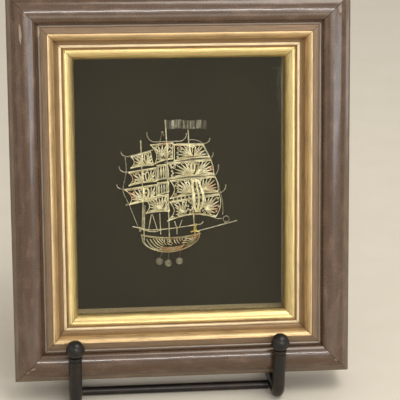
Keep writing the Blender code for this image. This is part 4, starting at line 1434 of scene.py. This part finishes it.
def frame_strands(cloth):
    """Twisted wires round the sail, thinner at its sides, and plain ones inside head and foot."""
    shares = [i / 30 for i in range(31)]
    strands = []
    for fall in (0, 1):
        strands += twisted_pair([cloth.point(share, fall, 0.10) for share in shares], RIM_RADIUS)
    for along in (0, 1):
        strands += twisted_pair([cloth.point(along, share, 0.05) for share in shares], SIDE_RADIUS)
    inset = INNER_INSET / cloth.drop
    for fall in (inset, 1 - inset):
        strands += plain_wire([cloth.point(share, fall, 0.10) for share in shares], INNER_RADIUS)
    return strands


def curl_strands(cloth, taken, chance):
    """Rings scattered in what the petals leave free."""
    curls = []
    for _ in range(1500):
        size = chance.uniform(CURL_SMALL, CURL_LARGE)
        margin = size + 0.55
        along = chance.uniform(margin / cloth.width, 1 - margin / cloth.width)
        fall = chance.uniform(margin / cloth.drop, 1 - margin / cloth.drop)
        x, z = cloth.drawn(along, fall)
        if all(math.hypot(x - a, z - b) > (size + other) * 1.18 for a, b, other in curls):
            if nearest(taken, x, z) > size + 0.42:
                curls.append((x, z, size))
    strands = []
    for x, z, size in curls:
        ring = curl(x, z, size, chance.uniform(0, 2 * math.pi), chance.choice((-1, 1)))
        strands += plain_wire([cloth.on(a, b, 0.04) for a, b in ring], CURL_RADIUS)
    return strands


def sail_strands(name, cloth, chance):
    """All the wires of one sail, and the places of its grains."""
    strands = frame_strands(cloth)
    taken = []
    grains = [(*cloth.corners[corner], CORNER_GRAIN) for corner in (0, 3)]
    for foot, tips in FANS.get(name, ()):
        for tip in tips:
            wires, spine = leaf(cloth.on, (foot, tip), PETAL_WIDTH)
            strands += wires
            taken += spine[2:]
        grains.append((*foot, FAN_GRAIN))
    for x in BARS.get(name, ()):
        along = cloth.shares(x, cloth.corners[0][1] - cloth.drop / 2)[0]
        ends = cloth.drawn(along, 1 - 0.9 / cloth.drop), cloth.drawn(along, 0.9 / cloth.drop)
        wires, spine = leaf(cloth.on, ends, BAR_WIDTH)
        strands += wires
        taken += spine
    for middle, head, foot, width, loops in BUDS.get(name, ()):
        for index in range(loops):
            inside = BUD_INSET * index
            points, loop = bud(cloth, middle, head - inside, foot + inside * 1.6,
                               width - 2 * inside)
            strands += twisted_pair(points, BUD_RADIUS, True)
            taken += loop
    if name in STRAPS:
        top, foot = STRAPS[name]
        line = [[a + (b - a) * step / 10 for a, b in zip(top, foot)] for step in range(11)]
        strands += plain_wire([cloth.on(x, z, 0.50) for x, z in line], STRAP_RADIUS)
    strands += curl_strands(cloth, taken, chance)
    return strands, grains


# %% [markdown]
# The lower fore sails carry two things more: a row of short double posts that ties them together,
# and a gathered drape of three broad ribs that hangs from the yard and crosses both.

# %% Drape and posts
DRAPE = (
    ((13.2, 31.0, 5.1), (12.5, 28.4, 5.6), (12.6, 25.6, 5.9), (13.1, 22.9, 6.0), (13.3, 19.5, 6.1),
     (13.5, 16.5, 5.8), (14.5, 13.0, 5.0)),
    ((14.4, 31.1, 5.1), (14.8, 28.4, 5.7), (15.2, 25.6, 6.0), (15.8, 22.9, 6.2), (15.9, 19.5, 6.2),
     (15.6, 16.5, 5.9), (15.2, 13.0, 5.0)),
    ((15.5, 31.2, 5.1), (16.7, 28.2, 5.7), (17.5, 25.6, 5.9), (18.4, 22.9, 6.1), (18.4, 19.5, 6.1),
     (17.5, 16.5, 5.8), (15.9, 13.0, 5.0)),
)
DRAPE_RADIUS = 0.17
DRAPE_SIDES = ((-0.42, 0.12), (0.42, 0.12))
DRAPE_SIDE_RADIUS = 0.15
POSTS_AT = (0.07, 0.15, 0.23, 0.31, 0.39, 0.46)
POST_HALF_GAP = 0.006
POST_RADIUS = 0.16


def drape_strands():
    """Each rib is a twisted pair with a plain wire on both sides."""
    strands = []
    for points in DRAPE:
        route = [ship_point(x, z, lift) for x, z, lift in smooth_line(points)]
        strands += twisted_pair(route, DRAPE_RADIUS)
        for aside, back in DRAPE_SIDES:
            shift = Vector((aside * MM, back * MM, 0))
            strands += plain_wire([point + shift for point in route], DRAPE_SIDE_RADIUS)
    return strands


def post_strands():
    middle, lower = cloths["fore_sail_middle"], cloths["fore_sail_lower"]
    strands = []
    for along in POSTS_AT:
        for side in (-POST_HALF_GAP, POST_HALF_GAP):
            ends = [middle.point(along + side, 1), lower.point(along + side, 0)]
            strands += plain_wire(ends, POST_RADIUS)
    return strands


# %% Make the sails
chance = random.Random(7)
for name, cloth in cloths.items():
    strands, grains = sail_strands(name, cloth, chance)
    if name == "fore_sail_lower":
        strands += drape_strands() + post_strands()
    filigree = wires_to_mesh("sail", strands, 6)
    beads = [grain(cloth.on(x, z, 0.25), size) for x, z, size in grains]
    sail = settle(joined([filigree] + beads), name + "_filigree", silver_wire, (name,))
    print(sail.name, len(strands), "wires", triangles(sail), "triangles")

# %% [markdown]
# ### Hull
#
# The hull is a swelling crescent. A twisted rim runs along the deck and another round the keel.
# Towards the stern long ribs sweep down to the keel; amidships shorter leaves lean towards the
# bow; and under them the belly is closed with rows of wire laid side by side.

# %% Surface of the hull
RIM_LEFT = (-16.4, 0.8)
RIM_RIGHT = (17.0, 0.8)
RIM_SAG = 1.9
END_DEPTH = 0.7
KEEL_DEPTH = 7.6
KEEL_AT = 0.43
FULLNESS = 0.42
HULL_TAPER = 0.03
HULL_BILLOW = 1.8
HULL_LIFT = 2.7
HULL_MIDDLE = (RIM_LEFT[0] + RIM_RIGHT[0]) / 2
HULL_LENGTH = RIM_RIGHT[0] - RIM_LEFT[0]


def hull_section(along, down):
    """Height of the rim, depth below it, and taper, at one place of the hull."""
    rim = RIM_LEFT[1] - RIM_SAG * math.sin(math.pi * along)
    skew = along ** (math.log(0.5) / math.log(KEEL_AT))
    body = END_DEPTH + KEEL_DEPTH * max(0.0, math.sin(math.pi * skew)) ** FULLNESS
    taper = 1 - HULL_TAPER * math.sin(math.pi * down / 2) * (1 - math.sin(math.pi * along))
    return rim, body, taper


def hull_point(along, down, proud=0.0):
    """A place on the hull, from stern to bow and from deck to keel."""
    rim, body, taper = hull_section(along, down)
    x = RIM_LEFT[0] + HULL_LENGTH * along
    swell = math.sin(math.pi * along) ** 0.5 * math.sin(math.pi * (0.2 + 0.8 * down))
    lift = HULL_LIFT + SHEET + HULL_BILLOW * swell + proud
    return ship_point(HULL_MIDDLE + (x - HULL_MIDDLE) * taper, rim - body * down, lift)


def hull_on(x, z, proud=0.0):
    """The point of the hull at a drawn place."""
    along = down = 0.5
    for _ in range(6):
        rim, body, taper = hull_section(along, down)
        along = ((x - HULL_MIDDLE) / taper + HULL_MIDDLE - RIM_LEFT[0]) / HULL_LENGTH
        along = min(1.0, max(0.0, along))
        down = min(1.0, max(0.0, (rim - z) / body))
    return hull_point(along, down, proud)


# %% Wires of the hull
LONG_RIBS = (
    ((-15.1, -0.9), (-14.4, -3.5), (-12.4, -5.9), (-9.8, -7.6), (-7.2, -8.4)),
    ((-13.2, -1.6), (-12.4, -3.4), (-10.8, -5.4), (-9.0, -6.9), (-6.9, -7.7)),
    ((-11.3, -1.6), (-10.5, -3.0), (-9.0, -4.9), (-7.4, -6.2), (-5.6, -6.9)),
    ((-9.6, -1.5), (-8.7, -2.9), (-7.3, -4.5), (-5.8, -5.6), (-4.4, -6.1)),
    ((-8.0, -1.4), (-6.9, -3.0), (-5.4, -4.4), (-3.9, -5.2)),
    ((-6.5, -1.5), (-5.3, -3.0), (-4.3, -3.9)),
)
SHORT_RIBS = (
    ((-5.1, -1.6), (-4.0, -2.8)), ((-3.2, -1.9), (-3.5, -3.6), (-2.4, -5.0)),
    ((-2.1, -3.6), (-1.0, -4.6), (0.5, -5.1)), ((0.4, -1.7), (0.0, -3.1), (1.2, -4.4)),
    ((1.9, -1.8), (2.4, -3.4), (3.3, -4.6)), ((3.4, -1.8), (4.0, -3.2), (4.9, -4.4)),
    ((4.9, -1.6), (5.6, -3.0)), ((6.3, -1.5), (6.7, -2.4)),
    ((6.9, -3.0), (8.4, -2.6), (10.0, -2.9)), ((6.3, -4.2), (8.0, -3.9), (9.4, -4.0)),
    ((8.1, -1.8), (9.3, -1.6), (10.5, -1.7)), ((7.8, -0.8), (9.4, -0.5), (10.9, -0.4)),
)
BELLY_ROWS = (0.66, 0.73, 0.80, 0.87)
BOW_ROWS = (0.42, 0.55, 0.68, 0.81)
BOW_FROM = 0.82
BOW_CLEAR = 0.9
END_RADIUS = 0.20
RIB_RADIUS = 0.11
SHORT_WIDTH = 0.60
ROSETTE_AT = (-1.3, -2.5)
ROSETTE_SIZE = 0.62
ROSETTE_RADIUS = 0.16
BELLY_RADIUS = 0.125
BOW_ROW_RADIUS = 0.14
BOW_RADIUS = 0.12


def belly_row(down, start, stop, sway):
    """Places along the belly, from stern to bow, that wander a little up and down."""
    shares = [start + (stop - start) * i / 40 for i in range(41)]
    return [hull_point(share, down + 0.008 * math.sin(60 * share + sway), 0.02) for share in shares]


def ring_places(x, z, radius, count):
    """Places evenly round a circle."""
    angles = [2 * math.pi * step / count for step in range(count)]
    return [(x + radius * math.cos(angle), z + radius * math.sin(angle)) for angle in angles]


def bow_curls(chance):
    """Small rings scattered in the top of the bow, clear of each other."""
    curls = []
    strands = []
    for _ in range(900):
        along, down = chance.uniform(0.03, 0.97), chance.uniform(0.14, 0.36)
        size = chance.uniform(0.40, 0.60)
        rim, body, _taper = hull_section(along, down)
        x, z = RIM_LEFT[0] + HULL_LENGTH * along, rim - body * down
        clear = all(math.hypot(x - a, z - b) > (size + other) * 1.05 for a, b, other in curls)
        if clear and along > BOW_FROM and z < rim - BOW_CLEAR:
            curls.append((x, z, size))
            turned = curl(x, z, size, chance.uniform(0, 6.2), chance.choice((-1, 1)))
            strands += plain_wire([hull_on(a, b, 0.08) for a, b in turned], BOW_RADIUS)
    return strands


def hull_strands():
    """Rim, keel and end wires; ribs and short leaves; rows along the belly; curls in the bow."""
    steps = 60
    strands = []
    for down, proud, radius in ((0.0, 0.12, 0.17), (1.0, 0.05, 0.15)):
        route = [hull_point(i / steps, down, proud) for i in range(steps + 1)]
        strands += twisted_pair(route, radius)
    for along in (0.0, 1.0):
        strands += plain_wire([hull_point(along, i / 10) for i in range(11)], END_RADIUS)
    for down in (0.085, 0.94):
        route = [hull_point(i / steps, down, 0.06) for i in range(steps + 1)]
        strands += plain_wire(route, RIB_RADIUS)
    for axis in LONG_RIBS:
        line = smooth_line(axis)
        for side in (-0.10, 0.10):
            route = [hull_on(x + side, z + side * 0.5, 0.06) for x, z in line]
            strands += plain_wire(route, RIB_RADIUS)
    for axis in SHORT_RIBS:
        strands += leaf(hull_on, axis, SHORT_WIDTH)[0]
    rosette = [hull_on(x, z, 0.06) for x, z in ring_places(*ROSETTE_AT, ROSETTE_SIZE, 16)]
    strands += plain_wire(rosette, ROSETTE_RADIUS, True)
    for row, down in enumerate(BELLY_ROWS):
        route = belly_row(down, 0.33 - 0.01 * row, 0.74 - 0.02 * row, row)
        strands += twisted_pair(route, BELLY_RADIUS)
    for row, down in enumerate(BOW_ROWS):
        route = belly_row(down, 0.80 - 0.02 * row, 0.96 - 0.02 * row, row)
        strands += plain_wire(route, BOW_ROW_RADIUS)
    return strands + bow_curls(random.Random(3))


hull = wires_to_mesh("hull", hull_strands(), 6)
settle(hull, "ship_hull_filigree", hull_wire, ("ship_hull",))
print("hull:", triangles(hull), "triangles")

# %% [markdown]
# The foot of the fore mast is bound to the hull with bright gold-coloured wire, and a ring of two
# turns ties the long stay to the bowsprit.

# %% Binding and ring
SPLINTS = (((13.5, 6.4), (13.8, 4.0), (13.3, 1.8)), ((14.9, 6.2), (14.5, 4.0), (15.0, 1.8)))
TIE_HEIGHTS = (1.7, 2.1)
RING_AT = (31.6, 8.3)
RING_RADIUS = 1.7
RING_WIRE = 0.2

strands = binding(13.9, 1.2, MAST_LIFT, turns=9, radius=0.56, pitch=0.52, wire=0.17)
for points in SPLINTS:
    strands += plain_wire(drawn(points, YARD_LIFT), 0.22)
for height in TIE_HEIGHTS:
    tie = ((11.6, height - 0.4), (13.8, height), (16.6, height - 0.5))
    strands += plain_wire(drawn(tie, YARD_LIFT), 0.2)
lashing = wires_to_mesh("lashing", strands, 8)
settle(lashing, "fore_mast_lashing", gold_wire)

turns = []
for step in range(49):
    angle = 2 * math.pi * step / 24
    x = RING_AT[0] + RING_RADIUS * math.cos(angle)
    z = RING_AT[1] + RING_RADIUS * math.sin(angle)
    turns.append(ship_point(x, z, YARD_LIFT - 0.2 + 0.4 * step / 48))
ring = wires_to_mesh("ring", plain_wire(turns, RING_WIRE) + knot(31.4, 6.4, STAY_LIFT), 8)
settle(ring, "bow_ring_wire", stay_wire, ("bow_ring",))
print("lashing:", triangles(lashing), " ring:", triangles(ring), "triangles")

# %% [markdown]
# ### Pendants and pennants
#
# Three small discs hang under the keel. A disc starts as a filled circle that is extruded and
# inset, so it has a raised rim and a hollow face, and gets a ring of twisted wire, a curl on its
# face and the stem it hangs by. A pennant is a strip of thin sheet: a grid of faces waved in the
# wind, beaten with a small hammer, and given its thickness last.

# %% Pendants
PENDANTS = ((0.36, (-6.1, -14.6)), (0.46, (-1.2, -15.7)), (0.66, (5.1, -14.6)))
DISC_RADIUS = 1.8
DISC_SHEET = 0.25
DISC_RIM = 0.25
DISC_HOLLOW = 0.12
PENDANT_LIFT = 2.7
CURL_IN_FRONT = Vector((0, -0.2 * MM, 0))


def disc_at(x, z):
    """A hollow-faced disc with a raised rim, facing the front."""
    clear_selection()
    bpy.ops.mesh.primitive_circle_add(vertices=36, radius=DISC_RADIUS * MM, fill_type="NGON",
                                      location=ship_point(x, z, PENDANT_LIFT),
                                      rotation=(math.pi / 2, 0, 0))
    bpy.ops.object.mode_set(mode="EDIT")
    bpy.ops.mesh.select_all(action="SELECT")
    bpy.ops.mesh.extrude_region_move(TRANSFORM_OT_translate={"value": (0, -DISC_SHEET * MM, 0)})
    bpy.ops.mesh.inset(thickness=DISC_RIM * MM)
    bpy.ops.transform.translate(value=(0, DISC_HOLLOW * MM, 0))
    bpy.ops.mesh.inset(thickness=0.7 * MM)
    bpy.ops.transform.translate(value=(0, -DISC_HOLLOW * MM, 0))
    bpy.ops.mesh.select_all(action="SELECT")
    bpy.ops.mesh.normals_make_consistent(inside=False)
    bpy.ops.object.mode_set(mode="OBJECT")
    bpy.ops.object.shade_smooth_by_angle(angle=math.radians(40))
    return bpy.context.object


for number, (along, at) in enumerate(PENDANTS, 1):
    circle = [ship_point(x, z, PENDANT_LIFT) for x, z in ring_places(*at, DISC_RADIUS, 36)]
    stem = [hull_point(along, 1.0), ship_point(at[0], at[1] + DISC_RADIUS, PENDANT_LIFT)]
    turned = [ship_point(x, z, PENDANT_LIFT) + CURL_IN_FRONT for x, z in curl(*at, 1.0, 1.0, 1)]
    strands = twisted_pair(circle, 0.15, True) + plain_wire(stem, 0.17) + plain_wire(turned, 0.13)
    pendant = joined([wires_to_mesh("pendant", strands, 8), disc_at(*at)])
    settle(pendant, "pendant_%d_disc" % number, hammered_sheet, ("pendant_%d" % number,))
print("pendants:", len(PENDANTS))

# %% Pennants
PENNANTS = {"pennant_main": (-1.4, 9.6, 59.4, 64.3), "pennant_fore": (10.0, 21.0, 59.2, 63.9)}
PENNANT_SHEET = 0.00022


def beaten_strip(left, right, foot, head):
    """A waving strip of beaten sheet."""
    clear_selection()
    middle = ship_point((left + right) / 2, (foot + head) / 2, MAST_LIFT)
    bpy.ops.mesh.primitive_grid_add(x_subdivisions=72, y_subdivisions=30, size=1.0, location=middle,
                                    rotation=(math.pi / 2, 0, 0))
    strip = bpy.context.object
    strip.scale = ((right - left) * MM, (head - foot) * MM, 1)
    bpy.ops.object.transform_apply(location=True, rotation=True, scale=True)
    for vertex in strip.data.vertices:
        share = (vertex.co.x - ship_point(left, 0, 0).x) / ((right - left) * MM)
        dent = noise.noise(vertex.co * 900) * 0.10
        ripple = 0.5 * math.sin(2.5 * math.pi * share) + 0.16 * math.sin(9 * math.pi * share + foot)
        vertex.co.y -= (ripple + dent) * MM
        vertex.co.z += 0.12 * math.sin(9 * share + foot) * MM
    shell = strip.modifiers.new("thickness", "SOLIDIFY")
    shell.thickness = PENNANT_SHEET
    shell.offset = 0
    bpy.ops.object.modifier_apply(modifier=shell.name)
    bpy.ops.object.shade_smooth_by_angle(angle=math.radians(40))
    return strip


for name, sides in PENNANTS.items():
    strip = beaten_strip(*sides)
    settle(strip, name + "_beaten", rolled_sheet, (name,))
    print(strip.name, triangles(strip), "triangles")

# %% [markdown]
# ## Floor
#
# The object stands on a plain pale floor, which isn't part of the object.

# %% Floor
clear_selection()
bpy.ops.mesh.primitive_plane_add(size=6.0, location=(0, 2.1, 0))
floor = bpy.context.object
floor.name = "floor"


def floor_finish():
    finish = Finish("pale_floor", {"Specular IOR Level": 0.2})
    place = finish.object_place()
    trowel = finish.noise(place, 30.0, 5.0, 0.6)
    final = finish.blend(trowel, shade(222, 217, 205), shade(212, 206, 192))
    finish.bump(trowel, 0.05, 0.001)
    return finish.wear(base_color=final, roughness=trowel * 0.1 + 0.6)


floor.data.materials.append(floor_finish())
